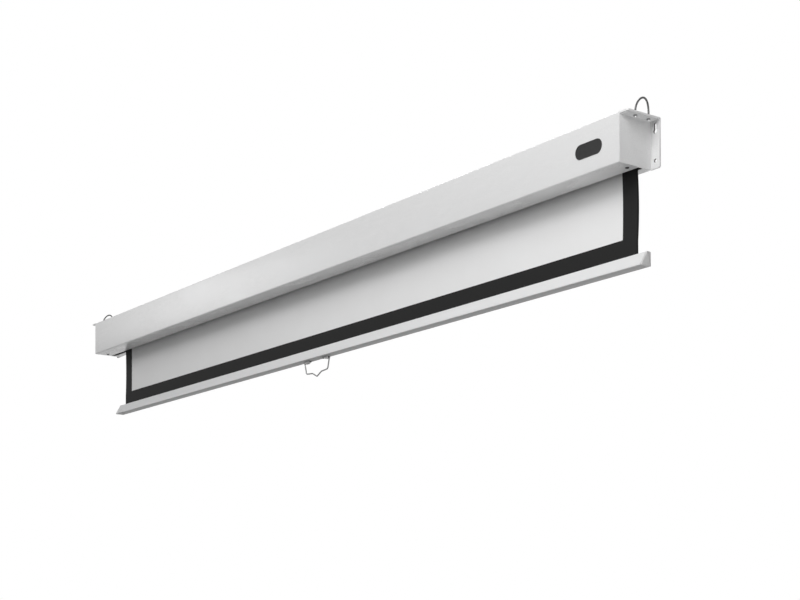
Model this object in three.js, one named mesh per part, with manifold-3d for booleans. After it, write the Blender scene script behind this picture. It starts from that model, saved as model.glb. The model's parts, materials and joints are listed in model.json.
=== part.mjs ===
// A manual pull down projector screen: a long white case that hides a spring roller, a cloth with
// a black border, an aluminium bottom bar and a bent wire handle.
// Millimetres. X runs along the case, -Y is the front, the wall is the plane y = 0 and z = 0 lies
// half-way up the case, so the origin is the middle of the case's rear face.
import * as THREE from 'three';
import { mergeVertices } from 'three/addons/utils/BufferGeometryUtils.js';
import Module from 'manifold-3d';

const wasm = await Module();
wasm.setup();

// Driving dimensions.
const imageWidth = 2204;
const caseHeight = 100;
const caseDepth = 91;
const borderWidth = 43.5; // black border at each side of the image
const bottomBorder = 36; // black border that shows above the bottom bar
const clothThickness = 0.5;
const barDrop = 169; // case underside to the ridge of the bottom bar, as it hangs at rest
const rollerDiameter = 50;
const rollFromFront = 4.25; // the wound cloth to the inside of the case's front
const clearance = 0.3; // between neighbours that fit in or run on each other

// Counts of flat facets: on fine arcs and small round pieces, and on the roller.
const turn = 2 * Math.PI;
const smallSides = 16;
const rollerSides = 48;
const bendSteps = 4;

// The end brackets and the room that each end of the case needs.
const bracketThickness = 3.5;
const flangeOverhang = 23.3; // from the end plate outwards
const flangeCorner = 4;
const tabLength = 24;
const tabThickness = 2;
const saddleThickness = 2.5;
const bushFlange = 1.6;
const endPlay = 0.6;
const idlerCapFlange = 1.8;
const clothFromTubeEnd = 1.6;
const mechanismBay = 91.9; // from the left end plate to the cloth, where the spring lock sits
const idlerBay = saddleThickness + bushFlange + endPlay + idlerCapFlange + clothFromTubeEnd;

// Places that follow from them.
const clothWidth = imageWidth + 2 * borderWidth;
const innerLength = mechanismBay + clothWidth + idlerBay;
const innerEnd = innerLength / 2; // the inner face of an end plate
const outerEnd = innerEnd + bracketThickness;
const halfHeight = caseHeight / 2;
const clothLeft = -innerEnd + mechanismBay;
const clothRight = innerEnd - idlerBay;
const ridgeZ = -halfHeight - barDrop;

// The roller, its tube and the cloth wound on it, which hangs off the rear of the roll.
const caseWall = 1.2;
const tubeWall = 1.2;
const rollBuild = 2.7;
const tubeRadius = rollerDiameter / 2;
const tubeBore = tubeRadius - tubeWall;
const rollRadius = tubeRadius + clearance + rollBuild;
const rollerY = -caseDepth + caseWall + rollFromFront + rollRadius;
const clothFront = rollerY + rollRadius + clearance;
const clothY = clothFront + clothThickness / 2;
const clothBack = clothFront + clothThickness;
const capPlugLength = 20;

// The case: a folded channel, open along its underside, where two lips are turned in.
const caseCorner = 3;
const lipHeight = 7;
const slotBeforeCloth = 6.4;
const slotBehindCloth = 6;
const slotFront = clothY - slotBeforeCloth;
const slotRear = clothY + slotBehindCloth;

// The screws that hold the case to the brackets' tabs, from below and from above.
const caseScrewFromSlot = 18.5;
const caseScrewFromTabEnd = 11;
const caseScrewHead = 8;
const caseScrewHeadHeight = 1.8;
const caseScrewShank = 4;
const caseScrewLength = 9;
const caseScrewX = innerEnd - tabLength + caseScrewFromTabEnd;
const caseScrewY = slotFront - caseScrewFromSlot;

// The hanging eye, a wire U-bolt with a nut under and over the flange on each leg.
const eyeWire = 4;
const eyeSpan = 36.6; // between the legs
const eyeStraight = 6; // of each leg, above the flange
const eyeFrontPull = 21.4; // the arch's curve is drawn up this far over the front leg
const eyeRearPull = 54.2; // and this far over the rear one, so the arch leans to the wall
const eyeFromWall = 40.3;
const eyeThreadEnd = 2;
const nutAcross = 7;
const nutHeight = 3.2;
const nutSides = 6;
const eyeX = outerEnd + flangeOverhang / 2;
const eyeLegs = [-eyeFromWall - eyeSpan / 2, -eyeFromWall + eyeSpan / 2];

// The keyhole and the round hole in the rear flange.
const keyholeEntry = 9.5;
const keyholeSlot = 6;
const keyholeEntryZ = 25.4;
const keyholeRun = 13.5;
const lowerHole = 7.5;
const lowerHoleZ = -33.9;

// The blank name plate on the front.
const namePlateLength = 77;
const namePlateHeight = 30.5;
const namePlateThickness = 1.2;
const namePlateFromEnd = 87.8;
const namePlateDrop = 1.7; // below the middle of the front

// The fixed spring shaft and its saddle on the left end plate.
const saddleWidth = 44;
const saddleHeight = 40;
const hubRadius = 12.5;
const hubLength = 6;
const tongueWidth = 6;
const tongueHeight = 9;
const shaftRadius = 6;
const shaftFlat = 4.6; // from the shaft's axis to the flat along it
const shaftStart = -innerEnd + saddleThickness + hubLength;

// The lock: a notched disc on the shaft and two pawls on the roller's left cap. Across and up are
// measured from the roller's axis to the upper pawl; the lower one is that, half a turn round.
const discFromHub = 3;
const discThickness = 5;
const discRadius = 13;
const notchFloor = 9.2;
const notchFace = 1.8;
const pawlPivotAcross = 12.5;
const pawlPivotUp = 15.5;
const pawlEye = 4;
const pawlArmShare = 0.6; // of the eye's radius, from the pivot up to the arm's top
const pawlNoseWidth = 3.6;
const pawlLift = THREE.MathUtils.degToRad(24);
const noseReach = Math.hypot(pawlPivotAcross + notchFace - clearance, pawlPivotUp - notchFloor - clearance);
const notchReach = noseReach + 2 * clearance; // from the pawl's pivot to the notch's step at the rim
const notchRim = Math.sqrt(notchReach ** 2 - (pawlPivotUp - discRadius) ** 2) - pawlPivotAcross;
const pinRadius = 2;
const pinHead = 3.4;
const pinHeadThickness = 1.2;
const pinDepth = 8;
const discStart = shaftStart + discFromHub;
const discEnd = discStart + discThickness;
const springCapFlange = 3;
const springCapStart = discEnd + clearance;
const tubeLeft = springCapStart + springCapFlange;

// The torsion spring round the shaft, between the left cap's neck and the plug on the shaft.
const springWire = 3;
const springRadius = 19.5;
const springPitch = 5.5;
const springTurns = 24;
const springStepsPerTurn = 8;
const springWireSides = 5;
const neckLength = 11;
const plugFlange = 4;
const springStart = tubeLeft + capPlugLength + clearance + springWire / 2;
const springEnd = springStart + springTurns * springPitch;
const plugFlangeStart = springEnd + springWire / 2 + clearance;
const neckRadius = springRadius * Math.cos(turn / 2 / springStepsPerTurn) - springWire / 2 - clearance;

// The idler at the right end: a pin in the roller's cap that turns in a bush.
const idlerPinRadius = 5;
const bushWall = 2;
const bushFlangeRadius = 10;
const bushRadius = idlerPinRadius + clearance + bushWall;
const bushStart = innerEnd - saddleThickness - bushFlange;
const idlerCapEnd = bushStart - endPlay;
const tubeRight = idlerCapEnd - idlerCapFlange;

// The bottom bar: an extrusion with a slanted front, a rounded back and a slot along its ridge.
const barDepth = 28.3; // to where the slanted front would meet the base
const barHeight = 30;
const barWall = 1.5;
const barBehindCloth = 9.5;
const barCrown = 3.5;
const barFrontBend = 2;
const barChamfer = 1;
const barSlotPlay = 0.95; // at each side of the cloth
const barOverhangLeft = 36.4;
const barOverhangRight = 25.6;
const barCapThickness = 4.7;
const barPlugLength = 10;
const barBack = clothY + barBehindCloth;
const barFront = barBack - barDepth;
const barBottom = ridgeZ - barHeight;
const barSlotHalf = clothThickness / 2 + barSlotPlay;
const noseY = clothY - barSlotHalf;
const barLeft = clothLeft - barOverhangLeft;
const barRight = clothRight + barOverhangRight;
const slantAngle = Math.atan2(barHeight, noseY - barFront); // between the slanted front and the base
const barBaseFront = barFront + barFrontBend / Math.tan(slantAngle / 2);
const barMiddleY = (barBack - barChamfer + barBaseFront) / 2; // the middle of the flat base

// The hem rod hangs the bar on the cloth: it is too thick for the slot above it.
const hemRodRadius = 2.5;

// The pull handle, one bent wire, and its two clips. Handle places are given from its middle and
// down from its swing axis, to the wire's middle.
const handleX = 24;
const handleWire = 3.4;
const handleWireSides = 8;
const handleSteps = 66;
const handleTop = 58.4;
const handleCorner = 50.4;
const handleCornerDrop = 29.8;
const handleShoulder = 21;
const handleShoulderDrop = 32;
const handleTipDrop = 42.3;
const handleStub = 14;
const handleBend = 3;
const handleCornerBend = 8;
const handleShoulderBend = 5;
const handleTipBend = 4;
const clipWall = 1.5;
const clipGap = 3.7; // from the handle's leg to the clip
const clipLength = 28;
const clipWidth = 10;
const clipBlock = 12;
const clipTaper = 7;
const clipFoot = 2.6;
const clipHeight = handleWire + 2 * clearance + 2 * clipWall;
const handleAxisZ = barBottom - clipHeight / 2;

// The screw through each clip's foot into the bar.
const clipScrewHead = 6;
const clipScrewHeadHeight = 2;
const clipScrewShank = 3;
const clipScrewLength = 7;
const clipScrewFromEnd = 4.5;

// Cuts run this far past what they cut.
const overrun = 2;

// How much of a screw head's height is rounded off.
const screwCrownShare = 0.45;

const axisX = new THREE.Vector3(1, 0, 0);
const axisY = new THREE.Vector3(0, 1, 0);
const axisZ = new THREE.Vector3(0, 0, 1);

function toSolid(geometry) {
  const bare = geometry.clone();
  bare.deleteAttribute('normal');
  bare.deleteAttribute('uv');
  const merged = mergeVertices(bare);
  return new wasm.Manifold(new wasm.Mesh({
    numProp: 3,
    vertProperties: merged.attributes.position.array,
    triVerts: new Uint32Array(merged.index.array),
  }));
}

function toGeometry(solid) {
  const mesh = solid.getMesh();
  const geometry = new THREE.BufferGeometry();
  geometry.setAttribute('position', new THREE.BufferAttribute(mesh.vertProperties, mesh.numProp));
  geometry.setIndex(new THREE.BufferAttribute(mesh.triVerts, 1));
  const faceted = geometry.toNonIndexed();
  faceted.computeVertexNormals();
  return faceted;
}

function join(...geometries) {
  return toGeometry(geometries.map(toSolid).reduce((whole, next) => whole.add(next)));
}

function cut(geometry, ...tools) {
  return toGeometry(tools.map(toSolid).reduce((whole, tool) => whole.subtract(tool), toSolid(geometry)));
}

// A box between two corners.
function block([x0, y0, z0], [x1, y1, z1]) {
  const box = new THREE.BoxGeometry(x1 - x0, y1 - y0, z1 - z0);
  return box.translate((x0 + x1) / 2, (y0 + y1) / 2, (z0 + z1) / 2);
}

// Points along an arc, both ends included.
function arc(centreA, centreB, radius, startAngle, endAngle, steps) {
  return Array.from({ length: steps + 1 }, (_, i) => {
    const angle = startAngle + (endAngle - startAngle) * i / steps;
    return new THREE.Vector2(centreA + radius * Math.cos(angle), centreB + radius * Math.sin(angle));
  });
}

function circle(centreA, centreB, radius, sides = smallSides) {
  return arc(centreA, centreB, radius, 0, turn * (1 - 1 / sides), sides - 1);
}

// A circle with a flat cut across its top, for the shaft and what is keyed to it.
function flattenedCircle(centreA, centreB, radius, flat) {
  const half = Math.acos(flat / radius);
  return arc(centreA, centreB, radius, turn / 4 + half, turn * 5 / 4 - half, smallSides);
}

function roundedRectangle(a0, b0, a1, b1, radius) {
  return [
    ...arc(a1 - radius, b1 - radius, radius, 0, turn / 4, bendSteps),
    ...arc(a0 + radius, b1 - radius, radius, turn / 4, turn / 2, bendSteps),
    ...arc(a0 + radius, b0 + radius, radius, turn / 2, turn * 3 / 4, bendSteps),
    ...arc(a1 - radius, b0 + radius, radius, turn * 3 / 4, turn, bendSteps),
  ];
}

// A convex outline, drawn counter-clockwise, with each of its sides moved in by a distance.
function inset(outline, distance) {
  const sides = outline.map((point, i) => {
    const along = outline[(i + 1) % outline.length].clone().sub(point).normalize();
    const inwards = new THREE.Vector2(-along.y, along.x);
    return { start: point.clone().addScaledVector(inwards, distance), along };
  });
  return sides.map((side, i) => {
    const before = sides.at(i - 1);
    const reach = side.start.clone().sub(before.start).cross(side.along) / before.along.cross(side.along);
    return before.start.clone().addScaledVector(before.along, reach);
  });
}

function extrude(outline, holes, depth) {
  const shape = new THREE.Shape(outline);
  shape.holes = holes.map((hole) => new THREE.Path(hole));
  return new THREE.ExtrudeGeometry(shape, { depth, bevelEnabled: false, steps: 1 });
}

// An outline in (y, z), carried from one x to another.
function alongX(outline, from, to, holes = []) {
  const turned = new THREE.Matrix4().makeBasis(axisY, axisZ, axisX);
  return extrude(outline, holes, to - from).applyMatrix4(turned).translate(from, 0, 0);
}

// An outline in (x, z), carried from one y to another.
function alongY(outline, from, to, holes = []) {
  const turned = new THREE.Matrix4().makeBasis(axisX, axisZ, axisY.clone().negate());
  return extrude(outline, holes, to - from).applyMatrix4(turned).translate(0, to, 0);
}

// An outline in (x, y), carried from one z to another.
function alongZ(outline, from, to, holes = []) {
  return extrude(outline, holes, to - from).translate(0, 0, from);
}

function wire(path, diameter, sides, steps) {
  const section = new THREE.Shape(circle(0, 0, diameter / 2, sides));
  return new THREE.ExtrudeGeometry(section, { extrudePath: path, steps, bevelEnabled: false });
}

// A path through corners, where each inner corner is rounded by its own bend radius.
function bentPath(corners, bends) {
  const path = new THREE.CurvePath();
  let from = corners[0];
  for (let i = 1; i < corners.length - 1; i += 1) {
    const corner = corners[i];
    const back = corners[i - 1].clone().sub(corner).normalize();
    const onwards = corners[i + 1].clone().sub(corner).normalize();
    const reach = bends[i - 1] / Math.tan(back.angleTo(onwards) / 2);
    const enter = corner.clone().addScaledVector(back, reach);
    const leave = corner.clone().addScaledVector(onwards, reach);
    path.add(new THREE.LineCurve3(from, enter));
    path.add(new THREE.QuadraticBezierCurve3(enter, corner, leave));
    from = leave;
  }
  path.add(new THREE.LineCurve3(from, corners.at(-1)));
  return path;
}

const part = new THREE.Group();

const white = { color: 0xe9e9ea, roughness: 0.42, metalness: 0 };
const zinc = { color: 0xb4b5b6, roughness: 0.3, metalness: 1 };
const blackMetal = { color: 0x2c2d2e, roughness: 0.45, metalness: 0.6 };
const steel = { color: 0x9b9d9f, roughness: 0.35, metalness: 1 };
const aluminium = { color: 0xdfe1e3, roughness: 0.38, metalness: 0.7 };
const capPlastic = { color: 0xc9cbcc, roughness: 0.5, metalness: 0 };
const innerPlastic = { color: 0x34363a, roughness: 0.6, metalness: 0 };
const clothWhite = { color: 0xe6e6e6, roughness: 0.9, metalness: 0 };
const clothBlack = { color: 0x1f1f20, roughness: 0.85, metalness: 0 };
const badgeBlack = { color: 0x232425, roughness: 0.3, metalness: 0 };

function add(name, geometry, finish) {
  const mesh = new THREE.Mesh(geometry, new THREE.MeshStandardMaterial(finish));
  mesh.name = name;
  part.add(mesh);
  return mesh;
}

// The same piece at both ends: as drawn at the right, mirrored at the left.
function addAtBothEnds(name, geometry, finish) {
  add(`${name}_right`, geometry, finish);
  add(`${name}_left`, geometry.clone(), finish).scale.x = -1;
}

function caseShell() {
  const frontEdge = -caseDepth + caseCorner;
  const rearEdge = -caseCorner;
  const level = halfHeight - caseCorner;
  const skin = (radius, steps) => [
    arc(frontEdge, -level, radius, turn * 3 / 4, turn / 2, steps),
    arc(frontEdge, level, radius, turn / 2, turn / 4, steps),
    arc(rearEdge, level, radius, turn / 4, 0, steps),
    arc(rearEdge, -level, radius, 0, -turn / 4, steps),
  ].flat();
  const lipTop = -halfHeight + lipHeight;
  const floor = -halfHeight + caseWall;
  const outline = [
    new THREE.Vector2(slotFront, lipTop),
    new THREE.Vector2(slotFront, -halfHeight),
    ...skin(caseCorner, bendSteps),
    new THREE.Vector2(slotRear, -halfHeight),
    new THREE.Vector2(slotRear, lipTop),
    new THREE.Vector2(slotRear + caseWall, lipTop),
    new THREE.Vector2(slotRear + caseWall, floor),
    ...skin(caseCorner - caseWall, bendSteps).reverse(),
    new THREE.Vector2(slotFront - caseWall, floor),
    new THREE.Vector2(slotFront - caseWall, lipTop),
  ];
  const screwHoles = [-caseScrewX, caseScrewX].map((x) => alongZ(
    circle(x, caseScrewY, caseScrewShank / 2 + clearance),
    -halfHeight - overrun,
    halfHeight + overrun,
  ));
  return cut(alongX(outline, -innerEnd, innerEnd), ...screwHoles);
}

function endBracket() {
  const outer = outerEnd + flangeOverhang;
  const endPlate = alongX(
    roundedRectangle(-caseDepth, -halfHeight, 0, halfHeight, caseCorner), innerEnd, outerEnd,
  );
  const topFlange = alongZ([
    new THREE.Vector2(innerEnd, 0),
    new THREE.Vector2(innerEnd, -caseDepth),
    ...arc(outer - flangeCorner, -caseDepth + flangeCorner, flangeCorner, -turn / 4, 0, bendSteps),
    new THREE.Vector2(outer, 0),
  ], halfHeight - bracketThickness, halfHeight);
  const keyholeTop = keyholeEntryZ + keyholeRun;
  const rearFlange = alongY([
    new THREE.Vector2(innerEnd, halfHeight),
    new THREE.Vector2(innerEnd, -halfHeight),
    ...arc(outer - flangeCorner, -halfHeight + flangeCorner, flangeCorner, -turn / 4, 0, bendSteps),
    new THREE.Vector2(outer, halfHeight),
  ], -bracketThickness, 0);
  const tabHalf = caseScrewFromSlot - caseWall - clearance;
  const tabs = [-1, 1].map((side) => {
    const seat = side * (halfHeight - caseWall);
    const inner = seat - side * tabThickness;
    return block(
      [innerEnd - tabLength, caseScrewY - tabHalf, Math.min(seat, inner)],
      [outerEnd - clearance, caseScrewY + tabHalf, Math.max(seat, inner)],
    );
  });
  const wallCuts = [
    alongY(circle(eyeX, keyholeEntryZ, keyholeEntry / 2), -bracketThickness - overrun, overrun),
    alongY(circle(eyeX, keyholeTop, keyholeSlot / 2), -bracketThickness - overrun, overrun),
    block(
      [eyeX - keyholeSlot / 2, -bracketThickness - overrun, keyholeEntryZ],
      [eyeX + keyholeSlot / 2, overrun, keyholeTop],
    ),
    alongY(circle(eyeX, lowerHoleZ, lowerHole / 2), -bracketThickness - overrun, overrun),
  ];
  const legHoles = eyeLegs.map((y) => alongZ(
    circle(eyeX, y, eyeWire / 2 + clearance), halfHeight - bracketThickness - overrun, halfHeight + overrun,
  ));
  const tabHole = alongZ(
    circle(caseScrewX, caseScrewY, caseScrewShank / 2 + clearance), -halfHeight, halfHeight,
  );
  return cut(join(endPlate, topFlange, rearFlange, ...tabs), ...wallCuts, ...legHoles, tabHole);
}

// A pan-head screw that points up, its head's flat on z = 0.
function panScrew(headDiameter, headHeight, shankDiameter, length) {
  const headRadius = headDiameter / 2;
  const crown = headHeight * screwCrownShare;
  const point = shankDiameter / 2;
  const profile = [
    new THREE.Vector2(0, -headHeight),
    new THREE.Vector2(headRadius - crown, -headHeight),
    new THREE.Vector2(headRadius, -headHeight + crown),
    new THREE.Vector2(headRadius, 0),
    new THREE.Vector2(shankDiameter / 2, 0),
    new THREE.Vector2(shankDiameter / 2, length - point),
    new THREE.Vector2(0, length),
  ];
  return new THREE.LatheGeometry(profile, smallSides).rotateX(turn / 4);
}

function hangingEye() {
  const [front, rear] = eyeLegs;
  const foot = halfHeight - bracketThickness - nutHeight - eyeThreadEnd;
  const archFoot = halfHeight + eyeStraight;
  const path = new THREE.CurvePath();
  const at = (y, z) => new THREE.Vector3(eyeX, y, z);
  path.add(new THREE.LineCurve3(at(front, foot), at(front, archFoot)));
  path.add(new THREE.CubicBezierCurve3(
    at(front, archFoot), at(front, archFoot + eyeFrontPull),
    at(rear, archFoot + eyeRearPull), at(rear, archFoot),
  ));
  path.add(new THREE.LineCurve3(at(rear, archFoot), at(rear, foot)));
  return wire(path, eyeWire, handleWireSides, smallSides * 2);
}

function hexNut(y, bottom) {
  const corners = circle(eyeX, y, nutAcross / 2 / Math.cos(turn / 2 / nutSides), nutSides);
  const bore = circle(eyeX, y, eyeWire / 2 + clearance, smallSides);
  return alongZ(corners, bottom, bottom + nutHeight, [bore]);
}

function namePlate() {
  const middle = outerEnd - namePlateFromEnd;
  const radius = namePlateHeight / 2;
  const straight = namePlateLength / 2 - radius;
  const pill = [
    ...arc(middle + straight, -namePlateDrop, radius, -turn / 4, turn / 4, smallSides),
    ...arc(middle - straight, -namePlateDrop, radius, turn / 4, turn * 3 / 4, smallSides),
  ];
  return alongY(pill, -caseDepth - namePlateThickness, -caseDepth);
}

function saddleOutline() {
  return roundedRectangle(
    rollerY - saddleWidth / 2, -saddleHeight / 2, rollerY + saddleWidth / 2, saddleHeight / 2, caseCorner,
  );
}

// The left saddle holds the shaft's flat tongue, so that the shaft can't turn.
function springSaddle() {
  const plateEnd = -innerEnd + saddleThickness;
  const slot = block(
    [-innerEnd - overrun, rollerY - tongueWidth / 2 - clearance, -tongueHeight / 2 - clearance],
    [shaftStart + overrun, rollerY + tongueWidth / 2 + clearance, tongueHeight / 2 + clearance],
  );
  const plate = alongX(saddleOutline(), -innerEnd, plateEnd);
  const hub = alongX(circle(rollerY, 0, hubRadius, rollerSides / 2), -innerEnd, shaftStart);
  return cut(join(plate, hub), slot);
}

function springShaft() {
  const tongue = block(
    [-innerEnd + clearance, rollerY - tongueWidth / 2, -tongueHeight / 2],
    [shaftStart + overrun, rollerY + tongueWidth / 2, tongueHeight / 2],
  );
  const round = alongX(
    flattenedCircle(rollerY, 0, shaftRadius, shaftFlat), shaftStart, plugFlangeStart + plugFlange,
  );
  return join(round, tongue);
}

function keyedBore() {
  return flattenedCircle(rollerY, 0, shaftRadius + clearance, shaftFlat + clearance);
}

// Each notch is a step that stops the pawl's nose and a flat that lifts it the other way round. The
// step leans back, out of the way of the nose's tip as it swings.
function ratchetDisc() {
  const disc = alongX(
    circle(rollerY, 0, discRadius, rollerSides), discStart, discEnd, [keyedBore()],
  );
  const past = discRadius + overrun;
  const notches = [1, -1].map((side) => alongX(
    [[-notchFace, notchFloor], [past, notchFloor], [past, past], [-notchRim, past], [-notchRim, discRadius]]
      .map(([y, z]) => new THREE.Vector2(rollerY + side * y, side * z)),
    discStart - overrun,
    discEnd + overrun,
  ));
  return cut(disc, ...notches);
}

// A pawl about its pivot at the origin: an eye, an arm that stays over the disc's rim, and a nose
// that reaches down into the notch when the pawl is in.
function pawl() {
  const noseSide = -(pawlPivotAcross + notchFace) + clearance;
  const noseTip = notchFloor + clearance - pawlPivotUp;
  const armFloor = discRadius + 2 * clearance - pawlPivotUp;
  const armTop = pawlEye * pawlArmShare;
  const outline = [
    new THREE.Vector2(0, armFloor),
    new THREE.Vector2(0, armTop),
    new THREE.Vector2(noseSide, armTop),
    new THREE.Vector2(noseSide, noseTip),
    new THREE.Vector2(noseSide + pawlNoseWidth, noseTip),
    new THREE.Vector2(noseSide + pawlNoseWidth, armFloor),
  ];
  const arm = alongX(outline, discStart, discEnd);
  const eye = alongX(circle(0, 0, pawlEye, rollerSides / 2), discStart, discEnd);
  const bore = alongX(circle(0, 0, pinRadius + clearance), discStart - overrun, discEnd + overrun);
  return cut(join(arm, eye), bore);
}

function pawlPin() {
  const headStart = discStart - clearance - pinHeadThickness;
  const shank = alongX(circle(0, 0, pinRadius), headStart, springCapStart + pinDepth - clearance);
  const head = alongX(circle(0, 0, pinHead), headStart, discStart - clearance);
  return join(shank, head);
}

// The upper pawl and its pin as drawn, the lower ones turned half round the roller's axis.
function addLock() {
  [['a', 0], ['b', turn / 2]].forEach(([letter, angle]) => {
    const seat = new THREE.Group();
    seat.position.y = rollerY;
    seat.rotation.x = angle;
    const pivot = new THREE.Group();
    pivot.position.set(0, pawlPivotAcross, pawlPivotUp);
    pivot.add(add(`pawl_pin_${letter}`, pawlPin(), steel));
    const swung = add(`pawl_${letter}`, pawl(), steel);
    swung.rotation.x = -pawlLift;
    pivot.add(swung);
    seat.add(pivot);
    part.add(seat);
  });
}

// The left cap closes the tube, carries the pawls and holds the spring's outer end on its neck.
function springCap() {
  const plugEnd = tubeLeft + capPlugLength;
  const flange = alongX(circle(rollerY, 0, tubeRadius, rollerSides), springCapStart, tubeLeft);
  const plug = alongX(circle(rollerY, 0, tubeBore - clearance, rollerSides), springCapStart, plugEnd);
  const neckEnd = plugEnd + neckLength;
  const neck = alongX(circle(rollerY, 0, neckRadius, rollerSides / 2), springCapStart, neckEnd);
  const bore = alongX(
    circle(rollerY, 0, shaftRadius + clearance, rollerSides / 2),
    springCapStart - overrun,
    neckEnd + overrun,
  );
  const pinHoles = [1, -1].map((side) => alongX(
    circle(rollerY + side * pawlPivotAcross, side * pawlPivotUp, pinRadius + clearance),
    springCapStart - overrun,
    springCapStart + pinDepth,
  ));
  return cut(join(flange, plug, neck), bore, ...pinHoles);
}

class Helix extends THREE.Curve {
  getPoint(share) {
    const angle = share * springTurns * turn;
    return new THREE.Vector3(
      springStart + share * (springEnd - springStart),
      rollerY + springRadius * Math.cos(angle),
      springRadius * Math.sin(angle),
    );
  }
}

function torsionSpring() {
  return wire(new Helix(), springWire, springWireSides, springTurns * springStepsPerTurn);
}

// The plug ties the spring's inner end to the shaft and runs inside the tube, which it centres.
function springPlug() {
  const flangeEnd = plugFlangeStart + plugFlange;
  const flange = alongX(
    circle(rollerY, 0, tubeBore - clearance, rollerSides), plugFlangeStart, flangeEnd,
  );
  const neck = alongX(
    circle(rollerY, 0, neckRadius, rollerSides / 2), plugFlangeStart - neckLength, flangeEnd,
  );
  return cut(join(flange, neck), alongX(
    keyedBore(), plugFlangeStart - neckLength - overrun, flangeEnd + overrun,
  ));
}

function rollerTube() {
  return alongX(
    circle(rollerY, 0, tubeRadius, rollerSides), tubeLeft, tubeRight,
    [circle(rollerY, 0, tubeBore, rollerSides)],
  );
}

// The wound cloth: its outer layer ends in a step at the rear, where the cloth hangs off.
function clothRoll() {
  const spiral = Array.from({ length: rollerSides + 1 }, (_, i) => {
    const share = i / rollerSides;
    const radius = rollRadius - clothThickness * share;
    return new THREE.Vector2(
      rollerY + radius * Math.cos(share * turn), radius * Math.sin(share * turn),
    );
  });
  return alongX(spiral, clothLeft, clothRight, [circle(rollerY, 0, tubeRadius + clearance, rollerSides)]);
}

function idlerCap() {
  const flange = alongX(circle(rollerY, 0, tubeRadius, rollerSides), tubeRight, idlerCapEnd);
  const plug = alongX(
    circle(rollerY, 0, tubeBore - clearance, rollerSides), tubeRight - capPlugLength, idlerCapEnd,
  );
  const bore = alongX(
    circle(rollerY, 0, idlerPinRadius + clearance), tubeRight - capPlugLength - overrun,
    idlerCapEnd + overrun,
  );
  return cut(join(flange, plug), bore);
}

function idlerPin() {
  return alongX(circle(rollerY, 0, idlerPinRadius), tubeRight - capPlugLength, innerEnd - clearance);
}

function idlerBush() {
  const bore = circle(rollerY, 0, idlerPinRadius + clearance);
  const flange = alongX(
    circle(rollerY, 0, bushFlangeRadius), bushStart, innerEnd - saddleThickness, [bore],
  );
  const sleeve = alongX(circle(rollerY, 0, bushRadius), bushStart, innerEnd - clearance, [bore]);
  return join(flange, sleeve);
}

function idlerSaddle() {
  return alongX(
    saddleOutline(), innerEnd - saddleThickness, innerEnd,
    [circle(rollerY, 0, bushRadius + clearance)],
  );
}

// The hanging cloth, from the roller's tangent down: the white image area inside a black border
// that runs on through the bar's slot to the hem rod.
const imageLeft = clothLeft + borderWidth;
const imageRight = clothRight - borderWidth;
const imageBottom = ridgeZ + bottomBorder;

function imageCloth() {
  return block([imageLeft, clothFront, imageBottom], [imageRight, clothBack, 0]);
}

function borderCloth() {
  const hem = hemRodZ + hemRodRadius + clearance;
  const outline = [
    [clothLeft, 0], [clothLeft, hem], [clothRight, hem], [clothRight, 0],
    [imageRight, 0], [imageRight, imageBottom], [imageLeft, imageBottom], [imageLeft, 0],
  ];
  return alongY(outline.map(([x, z]) => new THREE.Vector2(x, z)), clothFront, clothBack);
}

// The bar's outlines in (y, z), counter-clockwise as y grows to the right and z upwards: the outer
// one, with its bottom edges eased, and the one with sharp edges that its walls are measured from.
const crownArc = arc(barBack - barCrown, ridgeZ - barCrown, barCrown, 0, turn / 4, bendSteps);
const barOutline = [
  ...arc(barBaseFront, barBottom + barFrontBend, barFrontBend, turn / 4 + slantAngle, turn * 3 / 4, bendSteps),
  new THREE.Vector2(barBack - barChamfer, barBottom),
  new THREE.Vector2(barBack, barBottom + barChamfer),
  ...crownArc,
  new THREE.Vector2(noseY, ridgeZ),
];
const sharpBarOutline = [
  new THREE.Vector2(barFront, barBottom),
  new THREE.Vector2(barBack, barBottom),
  ...crownArc,
  new THREE.Vector2(noseY, ridgeZ),
];

// The hem rod hangs under the slot, just clear of the slanted front wall's inner face.
const slant = new THREE.Vector2(Math.cos(slantAngle), Math.sin(slantAngle));
const hemRodReach = hemRodRadius + clearance + barWall - barSlotHalf * slant.y;
const hemRodZ = ridgeZ - hemRodReach / slant.x;

function bottomBar() {
  const slot = block(
    [barLeft, clothY - barSlotHalf, ridgeZ - 2 * barWall - clearance],
    [barRight, clothY + barSlotHalf, ridgeZ + overrun],
  );
  const screwHoles = [-1, 1].map((side) => alongZ(
    circle(clipScrewX(side), barMiddleY, clipScrewShank / 2 + clearance),
    barBottom - overrun,
    barBottom + barWall + overrun,
  ));
  const tube = alongX(
    barOutline, barLeft + barCapThickness, barRight - barCapThickness,
    [inset(sharpBarOutline, barWall)],
  );
  return cut(tube, slot, ...screwHoles);
}

function barCap(side) {
  const outer = side < 0 ? barLeft : barRight;
  const seat = outer - side * barCapThickness;
  const inner = seat - side * barPlugLength;
  const face = alongX(barOutline, Math.min(outer, seat), Math.max(outer, seat));
  const plug = alongX(
    inset(sharpBarOutline, barWall + clearance), Math.min(outer, inner), Math.max(outer, inner),
  );
  return join(face, plug);
}

function hemRod() {
  return alongX(circle(clothY, hemRodZ, hemRodRadius), clothLeft, clothRight);
}

function pullHandle() {
  const places = [
    [handleTop - handleStub, 0], [handleTop, 0], [handleCorner, handleCornerDrop],
    [handleShoulder, handleShoulderDrop], [0, handleTipDrop],
  ];
  const bends = [handleBend, handleCornerBend, handleShoulderBend];
  const at = ([x, drop]) => new THREE.Vector3(handleX + x, barMiddleY, handleAxisZ - drop);
  const rightHalf = places.map(at);
  const leftHalf = places.slice(0, -1).reverse().map(([x, drop]) => at([-x, drop]));
  const path = bentPath([...rightHalf, ...leftHalf], [...bends, handleTipBend, ...bends.toReversed()]);
  return wire(path, handleWire, handleWireSides, handleSteps);
}

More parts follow.
